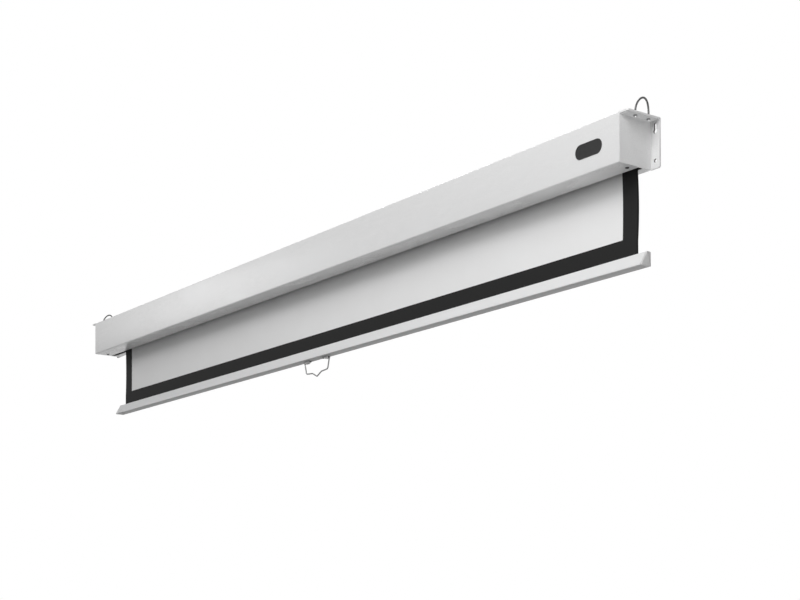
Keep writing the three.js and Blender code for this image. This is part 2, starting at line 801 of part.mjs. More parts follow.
function clipScrewX(side) {
  return handleX + side * (handleTop - clipGap - clipLength + clipScrewFromEnd);
}

// A wedge-shaped clip: a block that the handle's end turns in, tapering to the screw's foot.
function handleClip(side) {
  const outer = handleTop - clipGap;
  const outline = [
    [outer, 0], [outer, clipHeight], [outer - clipBlock, clipHeight],
    [outer - clipBlock - clipTaper, clipFoot], [outer - clipLength, clipFoot], [outer - clipLength, 0],
  ].map(([x, drop]) => new THREE.Vector2(handleX + side * x, barBottom - drop));
  const body = alongY(outline, barMiddleY - clipWidth / 2, barMiddleY + clipWidth / 2);
  const ends = [outer + overrun, handleTop - handleStub - clearance].map((x) => handleX + side * x);
  const bore = alongX(
    circle(barMiddleY, handleAxisZ, handleWire / 2 + clearance), Math.min(...ends), Math.max(...ends),
  );
  const screwHole = alongZ(
    circle(clipScrewX(side), barMiddleY, clipScrewShank / 2 + clearance),
    barBottom - clipFoot - overrun,
    barBottom + overrun,
  );
  return cut(body, bore, screwHole);
}

add('case_shell', caseShell(), white);
addAtBothEnds('end_bracket', endBracket(), white);
const caseScrew = panScrew(caseScrewHead, caseScrewHeadHeight, caseScrewShank, caseScrewLength);
addAtBothEnds(
  'case_screw_lower', caseScrew.clone().translate(caseScrewX, caseScrewY, -halfHeight), blackMetal,
);
addAtBothEnds(
  'case_screw_upper',
  caseScrew.clone().rotateX(turn / 2).translate(caseScrewX, caseScrewY, halfHeight),
  blackMetal,
);
addAtBothEnds('hanging_eye', hangingEye(), zinc);
['front', 'rear'].forEach((place, i) => {
  addAtBothEnds(`eye_nut_top_${place}`, hexNut(eyeLegs[i], halfHeight), zinc);
  const under = halfHeight - bracketThickness - nutHeight;
  addAtBothEnds(`eye_nut_under_${place}`, hexNut(eyeLegs[i], under), zinc);
});
add('name_plate', namePlate(), badgeBlack);

add('spring_saddle', springSaddle(), steel);
add('spring_shaft', springShaft(), steel);
add('ratchet_disc', ratchetDisc(), steel);
add('torsion_spring', torsionSpring(), blackMetal);
add('spring_plug', springPlug(), innerPlastic);
add('idler_saddle', idlerSaddle(), steel);
add('idler_bush', idlerBush(), innerPlastic);

add('roller_tube', rollerTube(), zinc);
add('spring_cap', springCap(), innerPlastic);
add('idler_cap', idlerCap(), innerPlastic);
add('idler_pin', idlerPin(), steel);
add('cloth_roll', clothRoll(), clothWhite);
addLock();

add('image_cloth', imageCloth(), clothWhite);
add('border_cloth', borderCloth(), clothBlack);
add('hem_rod', hemRod(), innerPlastic);
add('bottom_bar', bottomBar(), aluminium);
[['left', -1], ['right', 1]].forEach(([place, side]) => {
  add(`bar_cap_${place}`, barCap(side), capPlastic);
  add(`handle_clip_${place}`, handleClip(side), capPlastic);
  const screw = panScrew(clipScrewHead, clipScrewHeadHeight, clipScrewShank, clipScrewLength);
  screw.translate(clipScrewX(side), barMiddleY, barBottom - clipFoot);
  add(`handle_screw_${place}`, screw, blackMetal);
});
add('pull_handle', pullHandle(), zinc);

export default part;
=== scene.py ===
# %% [markdown]
# # A pull down projector screen
# A long white case hides a spring roller. A white cloth with a black border hangs out of its
# underside, and an aluminium bar with a wire handle keeps the cloth straight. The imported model
# already has every piece in its place, so this script only adds what the eye needs: rounded
# edges, threads, a cloth that hangs a little unevenly, and a finish for each surface.

# %% Load the frame
import json
import math

import bmesh
import bpy
import numpy as np
from mathutils import Matrix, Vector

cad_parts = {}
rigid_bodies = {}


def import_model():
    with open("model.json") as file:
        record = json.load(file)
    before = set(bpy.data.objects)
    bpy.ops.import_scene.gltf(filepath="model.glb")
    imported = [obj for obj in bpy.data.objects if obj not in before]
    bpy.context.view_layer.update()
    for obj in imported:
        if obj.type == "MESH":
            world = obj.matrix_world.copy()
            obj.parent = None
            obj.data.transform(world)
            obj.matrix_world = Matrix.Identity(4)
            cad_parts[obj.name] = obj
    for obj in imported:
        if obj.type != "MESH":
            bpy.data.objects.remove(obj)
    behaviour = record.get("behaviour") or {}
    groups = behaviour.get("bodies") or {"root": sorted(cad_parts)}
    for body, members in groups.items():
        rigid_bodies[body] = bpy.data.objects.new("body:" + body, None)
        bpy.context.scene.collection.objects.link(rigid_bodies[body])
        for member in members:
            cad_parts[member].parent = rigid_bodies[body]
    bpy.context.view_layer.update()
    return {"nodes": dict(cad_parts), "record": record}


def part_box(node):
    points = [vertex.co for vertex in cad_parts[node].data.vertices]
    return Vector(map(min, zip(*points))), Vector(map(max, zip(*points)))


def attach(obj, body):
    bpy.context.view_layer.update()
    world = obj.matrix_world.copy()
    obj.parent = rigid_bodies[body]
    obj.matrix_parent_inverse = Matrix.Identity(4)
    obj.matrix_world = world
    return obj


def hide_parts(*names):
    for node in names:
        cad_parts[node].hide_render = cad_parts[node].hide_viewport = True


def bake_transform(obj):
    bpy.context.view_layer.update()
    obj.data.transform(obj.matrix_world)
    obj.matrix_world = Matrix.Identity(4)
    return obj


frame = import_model()
print("nodes of the frame:", len(frame["nodes"]))

# %% [markdown]
# ## The camera
# The photograph looks up at the case from below its right end, yet upright edges stay upright, as
# with a view camera, whose lens is held level and shifted up. The place, the angles and the rise
# were fitted to corners of the case, the cloth and the bar. The rise is a shear on an empty that
# holds the camera, so a camera that is taken off it for another view looks straight ahead again.
# Blender makes the sheared axis one long again, so the lens is longer by the same factor.

# %% The camera
MILLIMETRE = 0.001
SENSOR_MM, LENS_MM = 36, 68.112
RISE_SHARE = 0.3905  # of the sensor's width
camera_place = np.array([3321.63, -2183.50, -1003.92]) * MILLIMETRE
camera_yaw, camera_pitch, camera_roll = 53.744, 1.355, -0.064

lens = bpy.data.cameras.new("view_from_below")
lens.sensor_width = SENSOR_MM
rise = RISE_SHARE * SENSOR_MM / LENS_MM
lens.lens = LENS_MM * math.hypot(1, rise)
lens.clip_end = 100
camera = bpy.data.objects.new("view_from_below", lens)
bpy.context.collection.objects.link(camera)
stand = bpy.data.objects.new("camera_stand", None)
bpy.context.collection.objects.link(stand)
camera.parent = stand
camera.matrix_parent_inverse = (
    Matrix.Translation(camera_place)
    @ Matrix.Rotation(math.radians(camera_yaw), 4, "Z")
    @ Matrix.Rotation(math.radians(90 + camera_pitch), 4, "X")
    @ Matrix.Rotation(math.radians(camera_roll), 4, "Z")
    @ Matrix(((1, 0, 0, 0), (0, 1, -rise, 0), (0, 0, 1, 0), (0, 0, 0, 1)))
)
bpy.context.scene.camera = camera
print("camera at", camera_place.round(3), "with a lens of", lens.lens, "mm")

# %% [markdown]
# ## Meshes from arrays
# Every new piece below is a grid of points that numpy works out in one go: rows by columns, each
# point a function of its row and its column. One helper numbers the quads between them, closes
# the ends and hands the arrays to Blender. Drawings of such products are in millimetres, so the
# arrays are too, and the helper turns them into metres.


# %% Grid to mesh
def grid_quads(rows, columns, round_rows=False, round_columns=False):
    """The quads between neighbouring rows and columns; a round direction joins its end to its start."""
    row, column = np.meshgrid(
        np.arange(rows if round_rows else rows - 1),
        np.arange(columns if round_columns else columns - 1),
        indexing="ij",
    )
    next_row, next_column = (row + 1) % rows, (column + 1) % columns
    corners = [(row, column), (row, next_column), (next_row, next_column), (next_row, column)]
    return np.stack([r * columns + c for r, c in corners], axis=-1).reshape(-1, 4)


def make_piece(name, points, body, instead_of=(), round_rows=False, round_columns=False,
               closed_ends=False, crease=35):
    """A mesh from points in millimetres, shaped (rows, columns, 3), which rides on a body."""
    rows, columns = points.shape[:2]
    faces = grid_quads(rows, columns, round_rows, round_columns).tolist()
    if closed_ends:
        faces += [list(range(columns)), list(range((rows - 1) * columns, rows * columns))]
    mesh = bpy.data.meshes.new(name)
    mesh.from_pydata((points.reshape(-1, 3) * MILLIMETRE).tolist(), [], faces)
    return finish_piece(name, mesh, body, instead_of, crease)


def finish_piece(name, mesh, body, instead_of=(), crease=35):
    """Faces outwards, soft shading with creases at sharp edges, then its body; the CAD nodes it stands
    in for are hidden.
    """
    work = bmesh.new()
    work.from_mesh(mesh)
    bmesh.ops.remove_doubles(work, verts=work.verts, dist=1e-6)
    bmesh.ops.recalc_face_normals(work, faces=work.faces)
    work.to_mesh(mesh)
    work.free()
    mesh.shade_smooth()
    mesh.set_sharp_from_angle(angle=math.radians(crease))
    made = bpy.data.objects.new(name, mesh)
    bpy.context.collection.objects.link(made)
    if body:
        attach(made, body)
    if instead_of:
        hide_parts(*instead_of)
    print(f"{name}: {len(mesh.polygons)} faces")
    return made


def box_of(node):
    """Lowest and highest corner of a CAD node in millimetres."""
    low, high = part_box(node)
    return np.array(low) / MILLIMETRE, np.array(high) / MILLIMETRE


# %% [markdown]
# ## Outlines
# Most pieces of a screen are extruded, folded or moulded from a flat outline. `arc` gives the
# points of a bend, and `moved_in` shrinks a closed outline by a distance, which is how a moulded
# piece gets its rounded rim: each ring is the outline again, a bit smaller and a bit further on.


# %% Arcs, outlines and rims
def arc(centre, radius, start, end, steps):
    """Points at equal angles (degrees) on a circle."""
    angle = np.radians(np.linspace(start, end, steps + 1))
    return np.stack([centre[0] + radius * np.cos(angle), centre[1] + radius * np.sin(angle)], axis=-1)


def moved_in(outline, distance):
    """Each point moves along the bisector of its two sides, so that both move in by the distance:
    distance times the sum of the two inward normals, over one plus their dot product."""
    along = np.roll(outline, -1, axis=0) - outline
    along /= np.linalg.norm(along, axis=1, keepdims=True)
    inwards = np.stack([-along[:, 1], along[:, 0]], axis=-1)
    before = np.roll(inwards, 1, axis=0)
    share = 1 + (inwards * before).sum(axis=1, keepdims=True)
    return outline + distance * (inwards + before) / share


def rings_along(outline, rings, axis):
    """One row of points for each ring (how far in, where along x or y) of a flat outline."""
    flat = np.stack([moved_in(outline, inset) for inset, _ in rings])
    along = np.stack([np.full(len(outline), place) for _, place in rings])
    order = {"x": (along, flat[..., 0], flat[..., 1]), "y": (flat[..., 0], along, flat[..., 1])}
    return np.stack(order[axis], axis=-1)


def rounded_rim(place, inwards, radius, steps=4):
    """Rings of a quarter round, from a face on to the side: in by radius times one less the sine,
    and on by radius times one less the cosine, for 0 to 90 degrees. Inwards is +1 or -1."""
    angle = np.radians(np.linspace(0, 90, steps + 1))
    return list(zip(radius * (1 - np.sin(angle)), place + inwards * radius * (1 - np.cos(angle))))


# %% [markdown]
# ## Wires
# The hanging eyes, the pull handle and the spring are all round wire that was bent. A tube is a
# circle carried along a line of points: at each point the circle stands across the line. For a
# flat bend the direction out of its plane never changes, which keeps the tube free of twist.


# %% Tubes along a line
def tube(line, out_of_plane, radius, sides=16):
    """centre + radius * (cos a * across + sin a * out of plane), for a line of points.
    The radius may be one number, one per point, or an array of points by sides."""
    along = np.gradient(line, axis=0)
    along /= np.linalg.norm(along, axis=1, keepdims=True)
    up = np.broadcast_to(np.asarray(out_of_plane, float), line.shape)
    across = np.cross(along, up)
    across /= np.linalg.norm(across, axis=1, keepdims=True)
    angle = np.linspace(0, 2 * np.pi, sides, endpoint=False)
    missing = (1,) * (2 - np.ndim(radius))
    radius = np.asarray(radius, float).reshape(np.shape(radius) + missing)
    radius = np.broadcast_to(radius, (len(line), sides))
    offset = (np.cos(angle)[None, :, None] * across[:, None, :]
              + np.sin(angle)[None, :, None] * up[:, None, :])
    return line[:, None, :] + radius[..., None] * offset


def length_along(line):
    """Distance from the line's start to each of its points."""
    return np.concatenate([[0], np.cumsum(np.linalg.norm(np.diff(line, axis=0), axis=1))])


def evenly(line, step):
    """The same line with points about one step apart."""
    reach = length_along(line)
    wanted = np.linspace(0, reach[-1], int(reach[-1] / step) + 2)
    return np.stack([np.interp(wanted, reach, line[:, k]) for k in range(line.shape[1])], axis=-1)


def eased_tips(line, radius):
    """A radius that shrinks over the last bit of each end, like a wire with its burr taken off:
    the root of one less the square of what is missing of that bit, times the radius."""
    eased_share, least = 0.4, 0.3
    reach = length_along(line)
    from_end = np.minimum(reach, reach[-1] - reach)
    share = np.clip(from_end / (eased_share * radius), 0, 1)
    return radius * np.sqrt(np.clip(1 - (1 - share) ** 2, least, 1))


# %% [markdown]
# ## Finishes
# A material is a small graph of nodes. Written out link by link it is hard to read, so a value in
# the graph is wrapped in a class whose + - * ** < > and abs() add the Math nodes themselves. A
# pattern can then be written as the sum that it is.


# %% Shader sums
class Level:
    """One output of a node. Arithmetic on it adds Math nodes to its finish."""

    def __init__(self, finish, socket):
        self.finish, self.socket = finish, socket

    def sum_of(self, operation, first, second=0.0):
        return self.finish.node("ShaderNodeMath", {"operation": operation}, {0: first, 1: second})

    def __add__(self, other):
        return self.sum_of("ADD", self, other)

    def __sub__(self, other):
        return self.sum_of("SUBTRACT", self, other)

    def __rsub__(self, other):
        return self.sum_of("SUBTRACT", other, self)

    def __mul__(self, other):
        return self.sum_of("MULTIPLY", self, other)

    def __lt__(self, other):
        return self.sum_of("LESS_THAN", self, other)

    def __gt__(self, other):
        return self.sum_of("GREATER_THAN", self, other)

    def __pow__(self, other):
        return self.sum_of("POWER", self, other)

    def __abs__(self):
        return self.sum_of("ABSOLUTE", self)

    def sine(self):
        return self.sum_of("SINE", self)

    __radd__ = __add__
    __rmul__ = __mul__


class Finish:
    """A material being made. Constants are set on the shader; patterns are linked to it."""

    def __init__(self, name, **constants):
        self.material = bpy.data.materials.new(name)
        self.material.use_nodes = True
        self.tree = self.material.node_tree
        self.shader = self.tree.nodes["Principled BSDF"]
        for socket, value in constants.items():
            self.set(socket, value)

    def set(self, socket, value):
        target = self.shader.inputs[socket.replace("_", " ").title().replace("Ior", "IOR")]
        if isinstance(value, Level):
            self.tree.links.new(value.socket, target)
        else:
            target.default_value = value

    def node(self, kind, settings=None, sockets=None, output=0):
        """Adds a node: its settings first, then a value or a link for each socket."""
        made = self.tree.nodes.new(kind)
        for key, value in (settings or {}).items():
            if key == "stops":
                for element, (place, level) in zip(made.color_ramp.elements, value):
                    element.position, element.color = place, (level, level, level, 1)
            else:
                setattr(made, key, value)
        for key, value in (sockets or {}).items():
            if isinstance(value, Level):
                self.tree.links.new(value.socket, made.inputs[key])
            else:
                made.inputs[key].default_value = value
        return Level(self, made.outputs[output])

    def coordinates(self, kind="Object", scale=(1, 1, 1)):
        """Coordinates of the piece, stretched by a scale. Object coordinates are in metres."""
        source = self.node("ShaderNodeTexCoord", output=kind)
        return self.node("ShaderNodeMapping", {}, {"Vector": source, "Scale": scale})

    def part_of(self, coordinates, axis):
        return self.node("ShaderNodeSeparateXYZ", {}, {"Vector": coordinates}, output=axis)

    def noise(self, coordinates, size_mm, detail=2.0, rough=0.5):
        """Soft noise from 0 to 1 whose blots are about this many millimetres wide."""
        return self.node("ShaderNodeTexNoise", {}, {
            "Vector": coordinates, "Scale": 1 / (size_mm * MILLIMETRE),
            "Detail": detail, "Roughness": rough,
        })

    def mix(self, factor, first, second):
        """A colour between two colours."""
        return self.node("ShaderNodeMix", {"data_type": "RGBA"},
                         {0: factor, 6: first, 7: second}, output=2)

    def ramp(self, value, *stops):
        """Two grey levels at two places along a value, and all between them."""
        return self.node("ShaderNodeValToRGB", {"stops": stops}, {0: value})

    def bump(self, height, depth_mm, strength=1.0):
        """Dents and rises, this many millimetres deep, linked to the shader's normal."""
        self.set("normal", self.node("ShaderNodeBump", {}, {
            "Strength": strength, "Distance": depth_mm * MILLIMETRE, "Height": height,
        }))


def grey(level, warmth=0.0):
    """A colour with the same level in red, green and blue, or a little warmer."""
    return (level * (1 + warmth), level, level * (1 - warmth), 1)


def paint(finish, *names):
    """Gives CAD nodes or pieces a finish."""
    for name in names:
        thing = bpy.data.objects[frame["nodes"][name].name if name in frame["nodes"] else name]
        thing.data.materials.clear()
        thing.data.materials.append(finish.material)


def painted_solid(name, points, body, node, finish, crease):
    """A piece from closed rings of points, with a face over the first and the last of them."""
    make_piece(name, points, body, [node], round_columns=True, closed_ends=True,
               crease=crease)
    paint(finish, name)


# %% [markdown]
# ## White powder paint
# The case and its end brackets are steel sheet, painted white as a powder that melts in an oven.
# Up close such paint has a fine orange peel, and over a long case it is never quite even. Two
# noises do it: one about a millimetre wide for the bump, one a hand wide for the tone. Inside the
# slot, where the cloth and the bar rub, the paint is a touch duller. The coil that the channel is
# folded from is painted on its outside only, so its inside is dark steel. The same near-black on
# the inside and on the walls of the holes punched in the rear flanges is also painted shade.

# %% Case paint
# All in metres. The holes are a keyhole (an entry and a neck above it) and a lower, round hole.
HOLES_X, ENTRY_Z, NECK_Z, LOWER_Z = 1.21065, 0.0254, 0.0389, -0.0339
ENTRY_RADIUS, NECK_RADIUS, LOWER_RADIUS = 0.0049, 0.00315, 0.0039
RUBBED_BELOW, RUBBED_Y, RUBBED_HALF = -0.0405, -0.0292, 0.0072
INSIDE_Y, INSIDE_HALF_DEPTH, INSIDE_HALF_HEIGHT, INSIDE_HALF_LENGTH = -0.0455, 0.0443, 0.0489, 1.1955
SPECK_LEVEL = 0.735
case_paint = Finish("case_paint", metallic=0.0, specular_ior_level=0.5)
on_case = case_paint.coordinates()
peel = case_paint.noise(on_case, 1.6, detail=1.0)
clouds = case_paint.noise(case_paint.coordinates(scale=(0.35, 1, 1)), 60, detail=3.0)
specks = case_paint.noise(on_case, 5.0, detail=4.0, rough=0.7) > SPECK_LEVEL
x, y, z = (case_paint.part_of(on_case, axis) for axis in "XYZ")
rubbed = (z < RUBBED_BELOW) * (abs(y - RUBBED_Y) < RUBBED_HALF)
# the case's inside, which gets the near-black below: dark steel and painted shade
inside = ((abs(y - INSIDE_Y) < INSIDE_HALF_DEPTH) * (abs(z) < INSIDE_HALF_HEIGHT)
          * (abs(x) < INSIDE_HALF_LENGTH))
sideways = abs(x) - HOLES_X
from_entry, from_neck, from_lower = (
    (sideways ** 2.0 + (z - height) ** 2.0) ** 0.5 for height in (ENTRY_Z, NECK_Z, LOWER_Z))
in_neck = (abs(sideways) < NECK_RADIUS) * (abs(z - (ENTRY_Z + NECK_Z) / 2) < (NECK_Z - ENTRY_Z) / 2)
punched = ((from_entry < ENTRY_RADIUS) + (from_neck < NECK_RADIUS)
           + (from_lower < LOWER_RADIUS) + in_neck) > 0.5
painted = case_paint.mix(clouds * 0.7 + specks * 0.25 + rubbed * 0.3,
                         grey(0.80, -0.004), grey(0.745, 0.004))
# near-black for the case's inside and the punched hole walls: a bare steel colour that also paints the
# shade there
bare_steel_and_shade = case_paint.mix(clouds, grey(0.10, 0.02), grey(0.07, 0.02))
case_paint.set("base_color", case_paint.mix((inside + punched) > 0.5, painted, bare_steel_and_shade))
case_paint.set("roughness", clouds * 0.08 + peel * 0.04 + rubbed * 0.15 + 0.21)
case_paint.bump(peel, 0.05, 0.35)
print("case paint:", len(case_paint.tree.nodes), "nodes")

# %% [markdown]
# ## The case
# The case is one folded channel: front, top and back, and an underside with a slot whose two
# edges are turned up inside. It is the same outline all along, so the piece is that outline at
# nine places from its left end to its right end. The CAD bends have few steps; here each has
# eight, so that the long highlight on each edge is smooth.

# %% Case shell
CASE_WALL, CASE_CORNER, LIP_HEIGHT, LIP_FOLD, BEND_STEPS = 1.2, 3.0, 7.0, 0.9, 8
CLOTH_THICKNESS = 0.5
CLOTH_Y = box_of("image_cloth")[0][1] + CLOTH_THICKNESS / 2
SLOT_FRONT, SLOT_REAR = CLOTH_Y - 6.4, CLOTH_Y + 6.0
LONG_STATIONS = 9
case_low, case_high = box_of("case_shell")


def case_outline():
    """Outer skin from the slot's front lip round to its rear lip, then the inner skin back."""
    front, rear = case_low[1] + CASE_CORNER, case_high[1] - CASE_CORNER
    low, high = case_low[2] + CASE_CORNER, case_high[2] - CASE_CORNER

    def skin(radius):
        bends = (((front, low), 270), ((front, high), 180), ((rear, high), 90), ((rear, low), 0))
        return np.concatenate([arc(centre, radius, start, start - 90, BEND_STEPS)
                               for centre, start in bends])

    lip_top, bottom = case_low[2] + LIP_HEIGHT, case_low[2] + CASE_WALL
    fold_z = case_low[2] + LIP_FOLD
    return np.concatenate([
        [(SLOT_FRONT, lip_top)],
        arc((SLOT_FRONT - LIP_FOLD, fold_z), LIP_FOLD, 0, -90, 5),
        skin(CASE_CORNER),
        arc((SLOT_REAR + LIP_FOLD, fold_z), LIP_FOLD, 270, 180, 5),
        [(SLOT_REAR, lip_top), (SLOT_REAR + CASE_WALL, lip_top), (SLOT_REAR + CASE_WALL, bottom)],
        skin(CASE_CORNER - CASE_WALL)[::-1],
        [(SLOT_FRONT - CASE_WALL, bottom), (SLOT_FRONT - CASE_WALL, lip_top)],
    ])


def run_along_x(outline, first, last):
    """An outline in (y, z), repeated at even places along x: (x, y, z)."""
    return np.stack([np.column_stack([np.full(len(outline), x), outline])
                     for x in np.linspace(first, last, LONG_STATIONS)])


painted_solid("case_body", run_along_x(case_outline(), case_low[0], case_high[0]),
              "case", "case_shell", case_paint, crease=30)

# %% [markdown]
# ## The end brackets
# Each bracket is 3.5 mm steel: an end plate with a flange along its top for the hanging eye and
# one along its back for wall screws. Their shape with all its holes is already right, so this
# step only takes a copy of the CAD node, welds its loose triangles and eases its edges, as thick
# paint does. A Bevel modifier finds them by their angle.


# %% End brackets
EASED_ANGLE = 40


def eased_copy(name, node, body, width_mm, segments=2):
    """A welded copy of a CAD node with its sharp edges rounded. The node itself isn't touched."""
    work = bmesh.new()
    work.from_mesh(frame["nodes"][node].data)
    bmesh.ops.remove_doubles(work, verts=work.verts, dist=2e-6)
    bmesh.ops.dissolve_limit(work, angle_limit=math.radians(2), verts=work.verts, edges=work.edges)
    mesh = bpy.data.meshes.new(name)
    work.to_mesh(mesh)
    work.free()
    made = finish_piece(name, mesh, body, [node], crease=EASED_ANGLE)
    bevel = made.modifiers.new("eased edges", "BEVEL")
    bevel.width, bevel.segments = width_mm * MILLIMETRE, segments
    bevel.limit_method, bevel.angle_limit = "ANGLE", math.radians(EASED_ANGLE)


for side in ("left", "right"):
    eased_copy(f"bracket_{side}", f"end_bracket_{side}", "case", 0.45)
    paint(case_paint, f"bracket_{side}")

# %% [markdown]
# ## Bright zinc
# The eyes, their nuts and the pull handle are steel with a thin zinc coat. It is a metal, so it
# takes its look from what it mirrors, and a cloudy grain makes that mirror uneven. The ends of
# the eyes, below their nuts, are painted near white: a painted glint.


# %% Zinc finishes
NOWHERE = -1  # metres, below everything that is metal


def metal(name, level, cloudy, roughness, grain_mm, scale=(1, 1, 1), warmth=0.0, depth_mm=0.01,
          painted_glint_below=NOWHERE):
    """A metal whose tone and roughness wander with one noise, and which is painted near white below a
    height, as a painted glint.
    """
    finish = Finish(name, metallic=1.0)
    spread = finish.noise(finish.coordinates(scale=scale), grain_mm, detail=4.0, rough=0.6)
    tone = finish.mix(spread, grey(level + cloudy, warmth), grey(level - cloudy, warmth))
    # below that height the colour is near white: a painted glint
    low = finish.part_of(finish.coordinates(), "Z") < painted_glint_below
    finish.set("base_color", finish.mix(low, tone, grey(0.97)))
    finish.set("roughness", spread * 0.16 + roughness)
    finish.bump(spread, depth_mm, 0.5)
    return finish


# the eyes' ends below their nuts are painted near white, a painted glint
nut_bottom = box_of("eye_nut_under_front_right")[0][2] * MILLIMETRE
zinc_wire = metal("zinc_wire", 0.085, 0.03, 0.24, 2.0, painted_glint_below=nut_bottom)
handle_wire = metal("handle_wire", 0.17, 0.05, 0.30, 2.5)
zinc_nuts = metal("zinc_nuts", 0.36, 0.08, 0.10, 1.2)
print("zinc finishes:", [finish.material.name for finish in (zinc_wire, handle_wire, zinc_nuts)])

# %% [markdown]
# ## The hanging eyes
# An eye is a wire bent into an arch, with a screw thread cut on both legs. The arch is a line of
# points: up one leg, over a cubic curve that leans to the wall, and down the other. The thread is
# a tube radius that rises and falls with the way along the wire plus the angle round it, which
# makes a true helix.

# %% Hanging eyes
THREAD_PITCH, THREAD_DEPTH, THREAD_TOP, THREAD_FADE = 0.7, 0.28, 6.5, 0.6
EYE_STRAIGHT, FRONT_PULL, REAR_PULL = 6.0, 21.4, 54.2
EYE_STEP, EYE_SIDES = 0.12, 20


def hanging_eye(side):
    """Two straight legs and a cubic curve (1-t)^3 a + 3(1-t)^2 t b + 3(1-t) t^2 c + t^3 d. The
    groove is a triangle wave of the way along over the pitch, plus the turn round the wire."""
    low, high = box_of(f"hanging_eye_{side}")
    wire = (high[0] - low[0]) / 2
    centre_x, front, rear = (low[0] + high[0]) / 2, low[1] + wire, high[1] - wire
    arch_foot = case_high[2] + EYE_STRAIGHT
    t = np.linspace(0, 1, 81)[:, None]
    pull = [np.array(point) for point in ((front, arch_foot), (front, arch_foot + FRONT_PULL),
                                          (rear, arch_foot + REAR_PULL), (rear, arch_foot))]
    arch = ((1 - t) ** 3 * pull[0] + 3 * (1 - t) ** 2 * t * pull[1]
            + 3 * (1 - t) * t**2 * pull[2] + t**3 * pull[3])
    flat_line = evenly(np.concatenate([[(front, low[2])], arch, [(rear, low[2])]]), EYE_STEP)
    line = np.column_stack([np.full(len(flat_line), centre_x), flat_line])
    turn = np.arange(EYE_SIDES) / EYE_SIDES
    turned = length_along(line)[:, None] / THREAD_PITCH + turn[None, :]
    groove = np.abs(2 * (turned % 1) - 1)
    threaded = np.clip((case_high[2] + THREAD_TOP - line[:, 2:3]) / THREAD_FADE, 0, 1)
    radius = eased_tips(line, wire)[:, None] - THREAD_DEPTH * threaded * (1 - groove)
    painted_solid(f"eye_{side}", tube(line, (1, 0, 0), radius, EYE_SIDES),
                  "case", f"hanging_eye_{side}", zinc_wire, crease=60)


for side in ("left", "right"):
    hanging_eye(side)

# %% [markdown]
# ## Hexagon nuts
# A nut is a hexagon cut from bar, with its corners turned off in a cone above and below. Looked at
# round its axis, the distance to the side is that of a hexagon, and near each face it can't be
# more than the cone allows. The smaller of the two is the nut.

# %% Nuts
NUT_AROUND, NUT_BORE, NUT_FACE_SHARE, NUT_CONE = 72, 1.95, 0.97, 1.9
NUT_STEPS = np.array([0, 0, 0.12, 0.3, 0.6])


def nut(name, node):
    """The radius is the smaller of the hexagon's, half the width over the cosine of the angle from
    the middle of a flat, and the cone's, which grows with the height from the nearer face."""
    low, high = box_of(node)
    middle, height = (low + high) / 2, high[2] - low[2]
    half_across = (high[1] - low[1]) / 2
    angle = np.linspace(0, 2 * np.pi, NUT_AROUND, endpoint=False)
    hexagon = half_across / np.cos((angle % (np.pi / 3)) - np.pi / 6)
    up = np.concatenate([NUT_STEPS, [height / 2], height - NUT_STEPS[::-1]])
    cone = half_across * NUT_FACE_SHARE + NUT_CONE * np.minimum(up, height - up)
    radius = np.minimum(hexagon[None, :], cone[:, None])
    radius[0] = radius[-1] = NUT_BORE
    flat = radius[..., None] * np.stack([np.cos(angle), np.sin(angle)], axis=-1) + middle[:2]
    heights = np.broadcast_to((low[2] + up)[:, None, None], radius.shape + (1,))
    make_piece(name, np.concatenate([flat, heights], axis=-1), "case", [node],
               round_rows=True, round_columns=True, crease=28)


for side in ("left", "right"):
    for spot in ("top_front", "top_rear", "under_front", "under_rear"):
        nut(f"nut_{spot}_{side}", f"eye_nut_{spot}_{side}")
        paint(zinc_nuts, f"nut_{spot}_{side}")

# %% [markdown]
# ## Screws with a cross recess
# Four screws hold the case to the brackets and two hold the handle's clips. A pan head is a disc
# with a rounded rim, and its recess is a cross that gets deeper towards the middle. The head is a
# polar grid whose height is the dome, less the recess where a point is near either arm.

# %% Screws
black_screws = Finish("black_screws", metallic=0.55)
scuffs = black_screws.noise(black_screws.coordinates(), 0.8, detail=5.0, rough=0.7)
worn = black_screws.ramp(scuffs, (0.55, 0), (0.75, 1))
black_screws.set("base_color", black_screws.mix(worn, grey(0.028), grey(0.13)))
black_screws.set("roughness", scuffs * 0.25 + 0.28)
black_screws.bump(scuffs, 0.02, 0.4)

HEAD_SHARES = np.array([0.02, 0.1, 0.2, 0.3, 0.4, 0.5, 0.6, 0.7, 0.8, 0.88, 0.94, 0.98, 1.0])
SCREW_AROUND = 48
HEAD_BASE, HEAD_RISE_SHARE, DOME_DROP_SHARE, DOME_FLATNESS = 0.9, 0.25, 0.45, 0.98
RECESS_DEPTH, RECESS_REACH_SHARE, ARM_HALF_SHARE, ARM_SOFTNESS = 0.8, 0.6, 0.13, 0.12
POINT_RADIUS = 0.05


